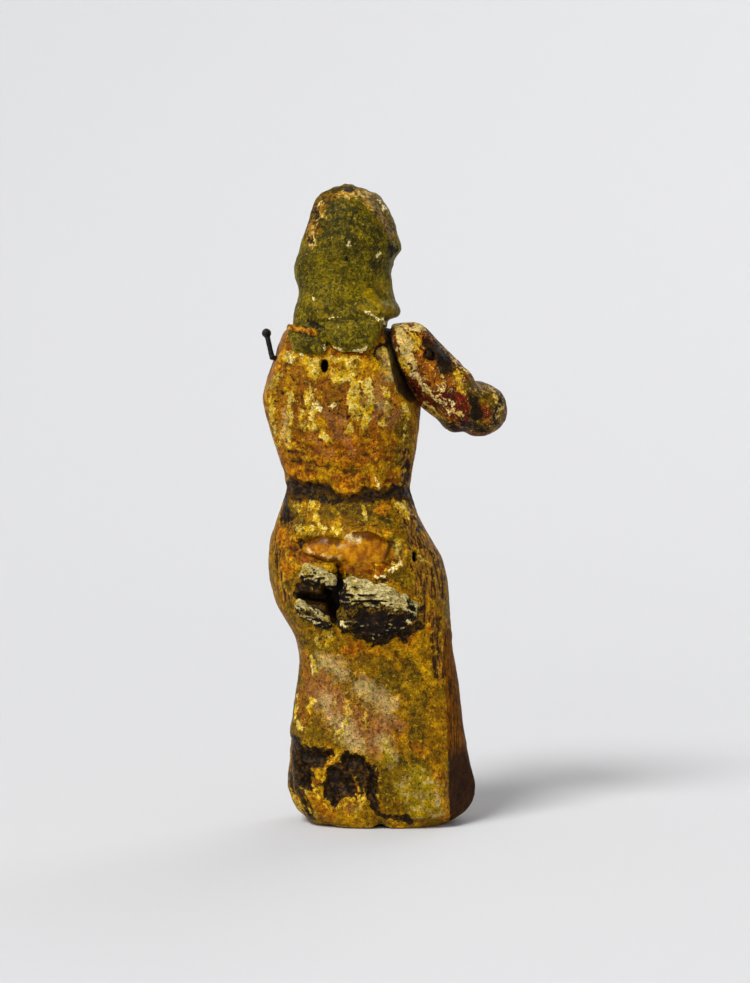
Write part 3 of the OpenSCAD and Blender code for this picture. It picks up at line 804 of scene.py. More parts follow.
# The front is drawn the same way; nobody has seen it, so it only carries on the wear of the back.
FRONT_STROKES = {
    "cream": [
        (0.8, 16, 112, 15, 102, 15.6, 96), (0.9, 4, 110, 3.4, 101), (0.7, 21, 70, 22, 58),
        (0.8, -8, 50, -9, 38, -8.2, 30), (0.6, 8, 64, 8.6, 54), (0.8, 15, 34, 16, 20),
        (0.6, 0, 24, 0.6, 12),
    ],
    "pink": [(3, 9, 98, 12, 88), (3.6, -2, 50, 2, 40), (3, 14, 26, 10, 18), (2.4, 4, 62, 8, 58)],
    "brown": [
        (2.2, 0, 104, 1, 95), (2.6, -10, 22, -12, 12), (2, 18, 46, 16, 38), (1.8, 14, 106, 17, 98),
        (1.8, 12, 70, 14, 60), (2, 4, 18, 0, 10),
    ],
    "pale": [(2, 5, 106, 7, 100), (2.6, -6, 34, -3, 26), (2.2, 12, 44, 9, 36)],
    "olive": [(2.4, 20, 30, 18, 20), (2, -2, 66, -5, 58), (1.6, 9, 84, 2, 84)],
    "bright": [(1.6, 2, 94, 4, 86), (2, 8, 30, 6, 22), (1.6, -10, 44, -12, 36)],
    "orange": [(2, 20, 104, 21, 92), (2.4, 8, 74, 2, 66, 6, 56), (2.6, -6, 12, 2, 5)],
    "dark": [(0.8, 6, 79, 2, 78.4), (1.4, 16, 6, 20, 3), (1.2, -15, 8, -17, 3)],
    "bare": [(2.6, 10, 10, 4, 3), (2.2, -12, 62, -12, 54), (1.4, 9.6, 92, 9, 86)],
    "lime": [(2.4, 4, 34, 8, 28)],
}
FRONT_FOLDS = [
    (1.5, 16, 68, 17, 40, 18, 0), (1.7, 9, 72, 9.6, 44, 9, 0), (1.6, 2, 70, 0, 40, -1, 0),
    (1.7, -5, 66, -8, 38, -9.6, 0), (1.3, -11, 56, -14, 28, -15.6, 0),
]
HEM_FRONT = 80.6             # height of the tunic's hem at the sides and in front
# The hem behind, as (x, z) points from right to left.
HEM_TUNIC = [(-30, 81), (-8, 81), (-6, 79.9), (-0.4, 79.9), (4.8, 80), (5.4, 78.4), (8.3, 77.6), (11, 78.8),
             (12, 80.7), (15.4, 80.7), (21.6, 81.4), (30, 81)]
SHOULDER_Z = 112.0           # the tunic's thickness fades in from here down to the chest
CHEST_Z = 90.0
FOLDS_TOP, FOLDS_FULL = 74.0, 25.0   # the front folds begin at one height and are deepest below the other
NECK_X, NECKLINE_Z = 9.0, 114.6      # the middle of the tunic's neckline in front, which falls to both sides
# Places of relief on the body, as strokes.
VOID = [(3.3, 11, 56.6, 11, 54, 9.6, 50.6), (0.9, 10.2, 61.4, 9.8, 58), (1.3, 19, 54, 12, 53)]
HEM_HOLLOWS = [
    (1.5, 18.6, 17.4, 13.2, 16.8), (1.5, 18.2, 15, 17.4, 11.4), (2.4, 11.6, 11.6, 7.2, 11),
    (1.3, 12.6, 9.4, 10.6, 8), (1.2, 7.4, 16, 3.8, 14), (1.1, 2.6, 12.6, 2.3, 7.8),
]
EDGE_FOLDS = [
    (0.55, 21.9, 20, 22.6, 15, 21.6, 8, 18.6, 2), (0.5, 19.9, 16, 19, 10, 16.4, 3),
    (0.5, 24.4, 30, 23.6, 20),
]
GLUE_HOLLOW = [(3.6, 18.4, 65, 10, 65, 2, 65.4, -1.6, 64.6)]
BELT_FOOT = 76.4             # lower edge of the dark band under the tunic's hem
# The knife-flat right side of the skirt is painted brown, partly as painted shade of the side turned from the
# light.
FACET_TOP = 46.0             # the knife-flat right side of the skirt runs from the hem up to about here
FACET_EDGE = (-15.9, -14.4)  # where its ridge lies at the hem and at its top
FACET_FOOT_TOP = 18.0              # below this the facet is dark red-black
# The higher its share, the more a paint covers where it isn't laid by strokes; its lift is how far it
# stands proud of the wood, in mm.
BODY_SHARES = dict(cream=0.34, flake=0.2, pale=0.3, pink=0.3, orange=0.42, bright=0.42, olive=0.4, brown=0.42,
                   lime=0.2, dark=0.25, bare=0.4, crumbs=0, glue=0, pit=0)
BODY_LIFTS = dict(cream=0.14, flake=0.14, orange=0.10, bare=-0.16, dark=-0.12, brown=-0.08, pale=0.03)


def body_fields(p, normal):
    """Paint fields of the body: given by strokes on the back and the front, wild where they meet at the sides.
    """
    flat, crisp = shaken(p), shaken(p, 1.2)
    back = step(-0.15, 0.35, normal[:, 1]) * step(-4, 2, p[:, 1])
    fields = {}
    for number, (name, share) in enumerate(BODY_SHARES.items()):
        tall = 2.2 if name in ("cream", "flake", "bare") else 1.2
        place = {"pit": p[:, [0, 2]], "cream": crisp, "flake": crisp}.get(name, flat)
        seen = inside(place, BODY_STROKES[name])
        unseen = inside(flat, FRONT_STROKES.get(name, []))
        unseen = np.maximum(unseen, wild(p, (4.5, 4.5, 4.5 * tall), 40 + number, share))
        fields[name] = seen * back + unseen * (1 - back)
    return fields


def behind_fields(p, back, far, strokes, shares, cell, seed):
    """Paint fields of a smaller piece: given by strokes where back is 1, wild where it is 0."""
    flat = shaken(p, far)
    fields = {}
    for number, (name, share) in enumerate(shares.items()):
        fields[name] = inside(flat, strokes[name]) * back + wild(p, cell, seed + number, share) * (1 - back)
    return fields


def lifted(fields, lifts):
    """Real relief of the paint: each kind stands proud or is worn down by its own depth in mm."""
    total = 0
    for name, lift in lifts.items():
        total = total + lift * step(-0.4, 0.4, fields[name])
    return total


def above_hem(p, normal):
    """How far each point lies above the ragged hem of the tunic, in mm."""
    hem = np.interp(p[:, 0], *zip(*HEM_TUNIC))
    hem = np.where(normal[:, 1] > 0.1, hem, HEM_FRONT) + 0.5 * cloud(p, 3.0, 5)
    return p[:, 2] - hem


def carve_body(p, normal):
    """The relief that is cut into the plain body, in mm along its normals."""
    flat = p[:, [0, 2]]
    back = step(0.0, 0.5, normal[:, 1])
    front = step(0.1, 0.6, -normal[:, 1])
    upright = step(0.6, 0.3, np.abs(normal[:, 2]))

    # the tunic's ragged hem over the sash band, and the band itself
    tunic = above_hem(p, normal)
    relief = 0.35 * step(-0.3, 0.3, tunic) * step(SHOULDER_Z, CHEST_Z, p[:, 2])
    relief -= 0.3 * step(0.2, -0.2, tunic) * step(-4.2, -2.6, tunic) * upright * step(-0.1, 0.3, normal[:, 1])

    # deep hollows behind: the void under the bow, the hollow of the glue, the broken hem
    relief -= 4.6 * step(-0.5, 1.6, inside(flat, VOID)) * back
    glue = inside(flat, GLUE_HOLLOW)
    relief -= 0.8 * step(-1.2, 1.5, glue) * back
    relief += 0.7 * step(-2.0, 0.2, glue) * step(1.4, -0.4, glue) * back
    relief -= 1.3 * step(-0.3, 0.8, inside(shaken(p), HEM_HOLLOWS)) * back * upright
    relief -= 0.9 * step(-0.3, 0.5, inside(flat, EDGE_FOLDS)) * step(-0.2, 0.3, normal[:, 1])
    relief -= 1.2 * bump(p, (0.4, 13, 0), (1.6, 6, 2.2)) + 0.8 * bump(p, (13, 12, 0), (2.2, 5, 1.8))
    # skirt folds in front, growing towards the hem
    fold, growing = inside(flat, FRONT_FOLDS), step(FOLDS_TOP, FOLDS_FULL, p[:, 2])
    relief -= 1.5 * step(-0.9, 1.5, fold) * front * growing
    relief += 0.5 * step(-3.0, -1.0, fold) * front * growing * upright
    # a rolled edge round the neck of the tunic
    neckline = np.abs(p[:, 2] - NECKLINE_Z + 0.012 * (p[:, 0] - NECK_X) ** 2)
    relief += 0.5 * step(1.2, 0.3, neckline) * front * step(14, 10, np.abs(p[:, 0] - NECK_X))
    # thick paint lies in wrinkles over the lowest part of the tunic, behind
    wrinkle = 0.6 - 2.4 * np.abs(cloud(p, (7, 7, 2.6), 37, 2))
    relief += 0.42 * wrinkle * step(0.4, 1.6, tunic) * step(CHEST_Z + 4, CHEST_Z, p[:, 2]) * back
    # broad knife cuts and dents
    return relief + (0.45 * cloud(p, (9, 9, 14), 11, 2) * upright + 0.22 * cloud(p, 3.2, 12, 2) * upright)


def make_body(material):
    clay = Clay.of_nodes("body").remesh(0.5, relax=12)
    clay.swell(carve_body(clay.points, clay.normals))

    # flat facets: the right side of the skirt, the right hip, the left side of the skirt
    z = clay.points[:, 2]
    clay.trim((-15.0, 12.0, 20), (-0.82, 0.57, 0.0), step(56, 44, z))
    clay.trim((-9.0, 11.4, 65), (-0.78, 0.60, 0.15), step(46, 54, z) * step(82, 74, z))
    clay.trim((18.6, 13.0, 30), (0.62, 0.785, 0.0), step(48, 36, z) * 0.8)

    clay.remesh(0.45, relax=2)
    p, normal = clay.points, clay.normals
    fields = body_fields(p, normal)
    flat = p[:, [0, 2]]
    back = step(0.0, 0.5, normal[:, 1])
    upright = step(0.6, 0.3, np.abs(normal[:, 2]))
    ahead = step(0.2, -0.3, normal[:, 1])
    fields["tunic"] = np.clip(above_hem(p, normal), -3, 3)
    patchy = 1.6 * cloud(p, (6, 6, 2.6), 36, 3) - 0.5 * ahead
    fields["belt"] = np.clip(np.minimum(0.2 - fields["tunic"], p[:, 2] - BELT_FOOT) + patchy, -3, 3)
    ridge = np.interp(p[:, 2], (0, FACET_TOP), FACET_EDGE)
    facet_top = 0.3 * (FACET_TOP - p[:, 2]) + 2.5 * cloud(p, (3, 3, 10), 35, 2)
    # partly painted shade: the knife-flat right side, turned from the light, darker towards its foot
    fields["facet"] = np.clip(np.minimum(ridge - p[:, 0], facet_top), -3, 3) - 6 * ahead
    fields["facet_foot"] = np.clip(FACET_FOOT_TOP - p[:, 2] + 4 * cloud(p, 6.0, 33, 2), -4, 4)
    # painted shade: black in the void under the bow and in the hollows of the hem
    fields["cavity_shade"] = 1.6 * step(0.2, 1.6, inside(flat, VOID)) * back
    fields["cavity_shade"] += 0.35 * step(0.0, 1.0, inside(flat, HEM_HOLLOWS)) * back
    # painted shade: the flat face of the right shoulder is painted black behind the sleeve
    shoulder = p - PIVOT
    near = step(10, 9, np.linalg.norm(shoulder, axis=1))
    fields["cavity_shade"] += 1.3 * step(-0.6, -0.3, shoulder @ OUT) * near
    relief = lifted(fields, BODY_LIFTS) * upright
    relief += 0.3 * cloud(p, (0.9, 0.9, 14), 31, 2) * step(-0.5, 0.6, fields["bare"])
    relief += 0.10 * cloud(p, 1.1, 32, 2) * upright
    relief -= 2.5 * step(-0.1, 0.4, fields["pit"]) * back
    clay.swell(relief)
    return clay.piece("carved_body", "figure", "painted_wood", ["body"], material, fields)


# ---------------------------------------------------------------- the head

HEAD_X = 8.0          # middle of the face
FACE_Z = 136.2
FACE_HALF = (7.4, 10.2)
CROWN = (7.9, 150.6)  # the mouth of the crown's bore, in x and z
CHIN_Z = 126.6
EYE_Z = 139.0
EYE_APART = 3.5       # from the middle of the face to the middle of an eye
CHEEK = (4.6, 134.8)  # from the middle of the face, and up
NOSE_Z = 134.3
MOUTH_Z = 130.9
HAIR_FOOT = 119.0     # in front the hair stands out above this
HEAD_STROKES = {
    "rim": [
        (1.7, 16.8, 138.4, 16.6, 143, 14.8, 147, 11.6, 149.6, 7.6, 150.6, 3.6, 148.6, 0.8, 145.6, -1.6, 141),
    ],
    "cream": [
        (0.8, 16.9, 141.6, 16.2, 137.4), (0.5, 14.2, 146.8, 13.6, 143.2), (0.7, 9.6, 149.6, 7, 148.6),
        (0.9, 6.2, 149.8, 4.4, 148, 2.6, 146.2), (0.4, 15.6, 144.6, 15.2, 142), (0.5, 4.2, 150.2, 2.8, 149),
    ],
    "ash": [(0.8, 1.6, 147, -0.4, 144, -1.6, 140.6), (0.5, -2, 139.4, -2.6, 137.4)],
    "flake": [
        (0.3, 8.1, 137.2, 8, 136.4), (0.25, 0.7, 135.2, 0.6, 134.8), (0.2, 12.6, 119.8, 10.8, 120.4),
        (0.22, 4.6, 120.8, 1.8, 119.6, -1.4, 118.8), (0.25, -0.2, 147.2, -1, 145.4),
        (0.25, 16.8, 124.9, 16.9, 124.7), (0.25, 15.4, 147, 14.9, 148), (0.25, 1, 148.4, 0.6, 147.6),
        (0.35, 13.6, 113, 11.6, 112.4, 9.4, 111.8, 5.2, 111.8, 3.6, 112.6), (0.5, 6, 112.6, 4.2, 112.2),
    ],
    "shade": [
        (2, 14.4, 143.6, 13.6, 139), (2, 5, 144, 1.6, 139, 1, 133), (1.6, 18.6, 134, 18.2, 129),
        (1.5, -1.8, 136.6, -2.6, 136.2), (1.6, 16, 122, 11.6, 120.6), (3.4, 10.4, 145.6, 5.4, 142),
        (2.4, 9, 140, 7, 136), (1.2, 9.8, 114.6, 4, 114), (2.6, 19, 115.6, 15.6, 114),
    ],
    "lime": [
        (1.1, 15.6, 122.8, 14, 120.8), (1.6, 3.4, 126.4, 0.4, 123, -1.4, 121.6),
        (0.9, 5.2, 121.4, 1.6, 120.8), (0.9, 0.8, 128.4, -0.8, 127),
    ],
    # dark spots, and painted shade in a slit of the hair and in the gaps at the neck
    "dark": [
        (0.35, 8.5, 134.4, 8.7, 133.2), (0.7, 16.8, 118.6, 14.6, 117.6), (0.5, 16, 145.4, 15.2, 144),
        (0.7, -2, 137.2, -3, 135.6), (0.4, 17, 138.8, 16.4, 137.8), (0.6, -1.4, 118, -2.4, 116),
    ],
    "orange": [(0.8, 23.9, 118, 20.4, 117.1, 16.4, 116.4), (0.5, -2.2, 119.6, -2.4, 118)],
}
HEAD_SHARES = dict(rim=0.34, cream=0.3, ash=0.1, flake=0.2, shade=0.5, lime=0.3, dark=0.12, orange=0.0)
HEAD_LIFTS = dict(cream=0.1, flake=0.12, rim=-0.08, dark=-0.15, orange=0.25)


def oval(u, v, wide, high):
    """Distance inside an oval, in mm, near its edge."""
    return (1 - np.sqrt((u / wide) ** 2 + (v / high) ** 2)) * min(wide, high)


def face_relief(u, v):
    """How far the calm, plain face stands out at u across and v up, in mm."""
    side = np.abs(u)
    hill = lambda du, dv, wu, wv: np.exp(-(du / wu) ** 2 - (dv / wv) ** 2)
    nose = hill(u, 0, 1.25, 1) * step(EYE_Z + 2.4, NOSE_Z, v) * step(NOSE_Z - 1.5, NOSE_Z - 0.5, v) * 1.0
    relief = nose + 0.7 * hill(side - 1.35, v - NOSE_Z + 0.1, 0.7, 0.7)
    # eye sockets, eyeballs, brows, cheeks, lids
    eye = side - EYE_APART
    relief += -1.35 * hill(eye, v - EYE_Z + 0.1, 2.3, 1.7) + 1.0 * hill(eye, v - EYE_Z, 1.5, 0.95)
    cheek = hill(side - CHEEK[0], v - CHEEK[1], 2.2, 2.4)
    relief += 0.45 * hill(eye, v - EYE_Z - 2.5, 2.6, 0.7) + 0.5 * cheek
    lid = EYE_Z + 0.55 - 0.16 * eye ** 2
    relief += 0.22 * hill(eye, v - lid - 0.3, 1.9, 0.3) - 0.18 * hill(eye, v - lid, 1.7, 0.16)
    # lips, the line between them, the hollow under them, chin, groove under the nose
    mouth = v - MOUTH_Z
    relief += 0.75 * hill(u, mouth - 0.65, 1.9, 0.6) + 0.8 * hill(u, mouth + 0.75, 1.6, 0.65)
    relief += -0.55 * hill(u, mouth - 0.05 * u * u * 0.3, 2.3, 0.24) - 0.3 * hill(u, mouth + 1.9, 1.7, 0.5)
    relief += 0.9 * hill(u, v - CHIN_Z - 1.3, 2.4, 1.6) - 0.2 * hill(u, mouth - 1.8, 0.5, 0.8)
    return relief


def bare_skin(p):
    """How far each point lies inside the bare face and neck, and inside the face's oval alone, in mm."""
    u, v = p[:, 0] - HEAD_X, p[:, 2]
    face = oval(u, v - FACE_Z, *FACE_HALF)
    neck = np.minimum(5.0 - np.abs(u), step(-1.5, -3, p[:, 1]) * 10 - 5) - step(127, 131, v) * 9
    return np.where(p[:, 1] < -1.2, np.maximum(face, neck), -3), face


def carve_head(p, normal, skin, face):
    """The relief of hair and skull, in mm along the normals; the face's own features come later."""
    flat = p[:, [0, 2]]
    u, v = p[:, 0] - HEAD_X, p[:, 2]
    hair = step(0.2, -0.9, skin)
    # the hair stands proud of the face between its two falls
    relief = 1.3 * hair * step(3, -5, p[:, 1]) * step(HAIR_FOOT, HAIR_FOOT + 4, v)
    relief *= step(-3.4, -1.0, -np.abs(face))
    locks = np.sin(1.25 * np.abs(u) + 0.42 * v + 0.8 * np.sin(0.45 * v))
    locks = locks + 0.4 * np.sin(2.6 * np.abs(u) + 0.9 * v)
    relief += 0.36 * locks * hair * step(6, 0, p[:, 1])
    relief -= 0.5 * np.exp(-(u / 0.7) ** 2) * hair * step(2, -4, p[:, 1]) * step(143, 147, v)
    # lumps and slits seen behind
    back = step(0.0, 0.5, normal[:, 1])
    relief += 0.75 * bump(p, (-2.6, 2, 137.4), (2.2, 6, 2.4)) + 0.9 * bump(p, (19.6, 2, 131), (2.4, 6, 4.0))
    relief += 0.6 * bump(p, (-2.6, 4, 120.8), (2.2, 6, 1.8)) + 0.95 * bump(p, (-2.6, 3, 128.6), (2.2, 6, 5.0))
    relief += 1.0 * bump(p, (-2.0, 2, 142.6), (2.4, 7, 3.6)) + 0.2
    neck_slit = np.abs(v - 119.4 + 0.10 * (p[:, 0] - 4))
    relief -= 0.5 * step(1.4, 0.2, neck_slit) * back * step(19, 15, p[:, 0])
    relief -= 0.2 * step(-0.4, 1.2, inside(flat, HEAD_STROKES["rim"])) * back
    dents, chips = cloud(p, 6.0, 21, 2), cloud(p, 2.4, 22, 2)
    relief += 0.3 * dents * back * step(147, 141, v) + 0.22 * chips * hair * step(151, 146, v)
    relief -= 0.3 * bump(p, (1.6, 3, 150.4), (4, 8, 2.2)) + 0.4 * bump(p, (14.6, 3, 150.4), (4, 8, 2.4))
    return relief - 1.0 * bump(p, (8.0, 3, 152.8), (3.2, 9, 1.8))


def face_fields(p):
    """Paint fields of the face's features."""
    side, v = np.abs(p[:, 0] - HEAD_X), p[:, 2]
    eye = side - EYE_APART
    ahead = np.where(p[:, 1] < -6, 0, -5)
    fields = {"eye_white": oval(eye, v - EYE_Z, 1.55, 0.72) + ahead}
    iris = 0.62 - np.hypot(eye, v - EYE_Z - 0.08)
    fields["iris"] = np.minimum(iris, fields["eye_white"] + 0.05) + ahead
    lid = EYE_Z + 0.62 - 0.18 * eye ** 2
    brow = EYE_Z + 2.6 - 0.10 * (eye + 0.4) ** 2
    lash = np.minimum(0.14 - np.abs(v - lid), 1.75 - np.abs(eye))
    arch = np.minimum(0.2 - np.abs(v - brow), 2.2 - np.abs(eye - 0.2))
    fields["line"] = np.maximum(lash, arch) + ahead
    upper = oval(side, v - MOUTH_Z - 0.45, 2.1, 0.75)
    lower = oval(side, v - MOUTH_Z + 0.55, 1.7, 0.75)
    fields["lips"] = np.maximum(upper, lower) + ahead
    fields["blush"] = oval(side - 4.6, v - 134.4, 1.9, 1.7) + ahead
    return fields


def make_head(material):
    neck = Clay.of_balls([[(HEAD_X, -1.6, 117.6, 5.6), (HEAD_X, -2.4, 128, 5.0)],
                          [(HEAD_X, -4.2, 129.2, 5.4), (HEAD_X, -4.6, 132, 5.8)]])
    clay = Clay.of_nodes("head").join(neck).remesh(0.4, relax=10)
    p = clay.points
    skin, face = bare_skin(p)
    ahead = step(-3.5, -6.0, p[:, 1])
    clay.swell(carve_head(p, clay.normals, skin, face))
    p = clay.points
    p[:, 1] -= face_relief(p[:, 0] - HEAD_X, p[:, 2]) * ahead * step(-1.2, 0.4, face)
    clay.points = p

    clay.remesh(0.27, relax=1)
    p, normal = clay.points, clay.normals
    back = step(-0.1, 0.35, normal[:, 1]) * step(-3, 2, p[:, 1])
    fields = behind_fields(p, back, 1.1, HEAD_STROKES, HEAD_SHARES, 4.0, 70)
    fields["skin"] = bare_skin(p)[0]
    fields["dark"] = np.where(p[:, 1] > 0, fields["dark"], -3)
    for name in ("rim", "cream", "ash", "flake", "shade", "lime"):
        fields[name] = np.where(fields["skin"] > -0.3, -3, fields[name])
    fields.update(face_fields(p))
    # painted shade: black down the crown's bore
    bore = np.hypot(p[:, 0] - CROWN[0], p[:, 2] - CROWN[1]) - 0.9
    fields["cavity_shade"] = 1.4 * step(0.5, -0.2, bore) * (p[:, 1] > 3)
    relief = lifted(fields, HEAD_LIFTS)
    relief += 0.08 * cloud(p, 0.9, 23, 2) * step(0.2, -0.4, fields["skin"])
    relief += 0.35 * step(-0.2, 0.3, fields["orange"]) * np.abs(np.sin(2.1 * p[:, 0]))
    clay.swell(relief)
    return clay.piece("carved_head", "figure", "painted_hair", ["head"], material, fields)


# ---------------------------------------------------------------- the arm

ARM_STROKES = {
    "pale": [
        (1.6, -3.6, 117.6, -5.6, 113, -7, 109), (0.8, -6, 118.4, -9, 117.6), (0.25, -14.6, 115, -20, 107),
        (0.6, -8, 105.6, -11.4, 103), (0.35, -13.8, 108.6, -14.8, 104, -13, 102),
        (0.3, -9.6, 99.6, -12.4, 97.6), (0.25, -11.6, 101.6, -16.4, 98.6, -19.6, 96.4),
        (0.4, -26.4, 103, -28.6, 98.6),
    ],
    "yellow": [
        (0.8, -6.8, 116, -8, 112.6), (0.7, -4.4, 110, -6.6, 107), (0.7, -17.6, 107.4, -19.4, 103),
        (0.5, -11, 98, -13.4, 96),
    ],
    "orange": [
        (1.1, -9, 114.6, -9.6, 112), (1.5, -10.2, 110, -11.6, 107, -13, 105), (1.1, -16.6, 105, -18, 101.6),
        (0.8, -24.4, 98.6, -25.4, 96), (0.8, -8.4, 110.6, -9, 108.6),
    ],
    "crimson": [
        (1.2, -4.4, 107.4, -7, 103.6, -11, 99.6), (0.5, -11.6, 103, -14, 101.6),
        (1.5, -15, 101, -19, 98, -20, 96), (0.9, -13.6, 99.6, -17, 97), (1, -23, 98.6, -25.4, 97),
        (0.6, -6.8, 108.8, -7.8, 108), (0.9, -17, 103, -19.6, 99.6),
    ],
    "olive": [
        (0.9, -4.6, 110.8, -5.4, 109), (0.9, -14, 113.6, -15.4, 111), (1.1, -20, 104, -22, 101),
        (2.6, -22, 103.6, -26, 102, -27.6, 98), (2.2, -22, 96, -27, 95.6), (1, -10, 97, -16, 93.6),
        (0.9, -16.4, 108.4, -18.4, 106),
    ],
    # dark patches, and painted shade along the gap between sleeve and body
    "dark": [
        (1.9, -11, 113.8, -13.2, 111.6, -15.4, 109), (0.8, -15.2, 110.4, -17, 107.6),
        (0.5, -28.4, 101, -27, 95.6), (1.4, -21.6, 100.6, -22.6, 97.6), (0.8, -20, 95, -24, 93.4),
        (0.5, -6.6, 109.2, -7, 108.4), (0.8, -16.6, 94.2, -19.6, 93),
        (0.35, -3, 112, -4.4, 106.6, -8.6, 101.4),
    ],
    "flake": [
        (0.18, -13.6, 101.8, -17.6, 99.4), (0.16, -12.4, 100.4, -16.8, 97.6),
        (0.2, -12.6, 104.6, -13.6, 103), (0.35, -21.4, 94.4, -22.4, 93.8), (0.3, -7, 107, -8.4, 105.4),
        (0.18, -9, 118.4, -11, 117.6), (0.3, -27.4, 98, -27.8, 96.6), (0.25, -9.6, 104.6, -10.6, 103.6),
        (0.2, -15, 98.4, -16, 97.8),
    ],
}
ARM_SHARES = dict(pale=0.42, yellow=0.38, orange=0.48, crimson=0.42, olive=0.42, dark=0.28, flake=0.24)
ARM_LIFTS = dict(pale=0.08, flake=0.1, dark=-0.14, crimson=-0.04, orange=0.03)
FINGER_APART = 1.22                      # between the middles of two fingers
PIN_END = 7.9                            # how far out from the pivot the shoulder's pin comes
ELBOW = np.array((-19.3, -5.8, -10.4))   # from the shoulder's pivot
CUFF_Y = -14.2                           # ahead of this the sleeve swells into its cuff
FACE_GAP = 0.5                           # between the pivot's plane and the sleeve's flat inner face


def make_arm(material):
    clay = Clay.of_nodes("right_arm").remesh(0.36, relax=14)
    p = clay.points
    along = (p - PIVOT) @ OUT
    relief = 0.45 * cloud(p, 6.0, 51, 2) + 0.2 * cloud(p, 2.4, 52, 2)
    # flat knife cuts along the sleeve, and soft creases inside the elbow
    bend = p - (PIVOT + ELBOW)
    reach = np.linalg.norm(bend, axis=1)
    relief += 0.3 * np.sin(1.5 * reach + 0.8 * cloud(p, 5.0, 53, 2)) * step(6, 8, reach) * step(14, 9, reach)
    relief += 0.4 * step(CUFF_Y, CUFF_Y - 1, p[:, 1])
    clay.swell(relief * step(0.6, 2.0, along))
    clay.trim(PIVOT + OUT * FACE_GAP, -OUT)
    clay.remesh(0.25, relax=1)
    clay.trim(PIVOT + OUT * FACE_GAP, -OUT)
    p = clay.points
    back = step(-0.1, 0.3, clay.normals[:, 1])
    fields = behind_fields(p, back, 1.3, ARM_STROKES, ARM_SHARES, 3.6, 90)
    along = (p - PIVOT) @ OUT
    off_axis = np.linalg.norm(p - PIVOT - along[:, None] * OUT, axis=1)
    # painted shade: black at the mouth of the pin's hole and on the sleeve's flat inner face
    mouth, face = step(1.5, 1.0, off_axis) * step(5.6, 6.6, along), step(1.3, 0.8, along)
    fields["cavity_shade"] = np.maximum(1.4 * mouth, 1.1 * face)
    relief = lifted(fields, ARM_LIFTS)
    relief += 0.07 * cloud(p, 0.9, 54, 2)
    clay.swell(relief * step(0.55, 0.9, along))
    # the mouth of the pin's hole is choked with old paint
    p = clay.points
    along = (p - PIVOT) @ OUT
    spoke = p - PIVOT - along[:, None] * OUT
    off_axis = np.linalg.norm(spoke, axis=1)
    choked = 0.7 * step(3.2, 1.4, off_axis) * step(PIN_END, PIN_END + 1.2, along)
    clay.points = p - spoke * choked[:, None]
    return clay.piece("carved_sleeve", "arm", "painted_sleeve", ["right_arm"], material, fields)


def make_hand(material):
    """A loosely closed hand: palm, four curled fingers and a thumb, carved in one with its peg."""
    way = np.array((0.10, -0.98, 0.17))
    cuff = PIVOT + ELBOW + 13 * way
    up = np.array((-0.35, 0.12, 0.92))
    side = np.cross(up, way)
    spot = lambda forward, rise, across, r: tuple(cuff + forward * way + rise * up + across * side) + (r,)
    chains = [[spot(-4.6, 0, 0, 1.7), spot(0.6, 0, 0, 1.7)],
              [spot(0.4, 0, 0, 1.75), spot(3.2, 0.8, 0.1, 1.5)],
              [spot(0.4, 0, 0, 1.75), spot(3.2, -0.9, 0.1, 1.5)]]
    for k in range(4):
        rise = 1.9 - FINGER_APART * k
        chains.append([spot(2.8, rise * 0.8, -0.5, 0.68), spot(5.2 - 0.12 * k, rise, -0.7, 0.60),
                       spot(6.6 - 0.25 * k, rise, 0.5, 0.54), spot(5.6 - 0.2 * k, rise, 1.6, 0.48)])
    chains.append([spot(1.6, 1.4, 0.8, 0.8), spot(3.6, 2.5, 1.6, 0.62), spot(5.4, 2.1, 2.1, 0.52)])
    clay = Clay.of_balls(chains).remesh(0.14, relax=1)
    p = clay.points
    clay.swell(0.06 * cloud(p, 1.2, 61, 2))
    p = clay.points
    # painted shade: dark in the gaps between the fingers
    gap = np.abs(((p - cuff) @ up - 1.9 + FINGER_APART / 2) / FINGER_APART % 1 - 0.5)
    forward = (p - cuff) @ way
    fields = {"cavity_shade": 0.6 * step(0.3, 0.5, gap) * step(3.0, 4.2, forward)}
    return clay.piece("carved_hand", "arm", "painted_skin", ["right_hand"], material, fields)


# ---------------------------------------------------------------- pins, dowel, bow and glue

def make_left_pin(material):
    """The bent pin of the lost arm, hammered to a round head."""
    clay = Clay.of_nodes("left_shoulder_pin").remesh(0.13, relax=4)
    p = clay.points
    clay.swell(0.07 * cloud(p, 0.8, 65, 2) + 0.03)
    return clay.piece("bent_pin", "figure", "iron", ["left_shoulder_pin"], material, {})


def make_lump(name, node, material, strokes, rough, voxel, under):
    """A rough solid of the bow, frayed and pitted; it is painted dark where it faces down by more than under,
    as painted shade.
    """
    clay = Clay.of_nodes(node).remesh(voxel * 1.6, relax=8)
    p = clay.points
    clay.swell(rough * (cloud(p, (4.0, 3.0, 1.5), 71, 3) + 0.4 * cloud(p, (2.2, 1.0, 0.7), 72, 2)))
    clay.remesh(voxel, relax=0)
    p, normal = clay.points, clay.normals
    flat = shaken(p, 1.0)
    fields = {key: inside(flat, strokes.get(key, [])) for key in ("dark", "olive", "lime", "flake")}
    # painted shade: the undersides are painted dark
    fields["dark"] = np.maximum(fields["dark"], (-normal[:, 2] - under) * 3)
    fray = cloud(p, (2.4, 0.5, 0.35), 73, 2)
    clay.swell(0.12 * fray * step(0.3, -0.3, fields["dark"]) + 0.06 * cloud(p, 0.5, 74, 2))
    return clay.piece(name, "figure", "gessoed_cloth", [node], material, fields)


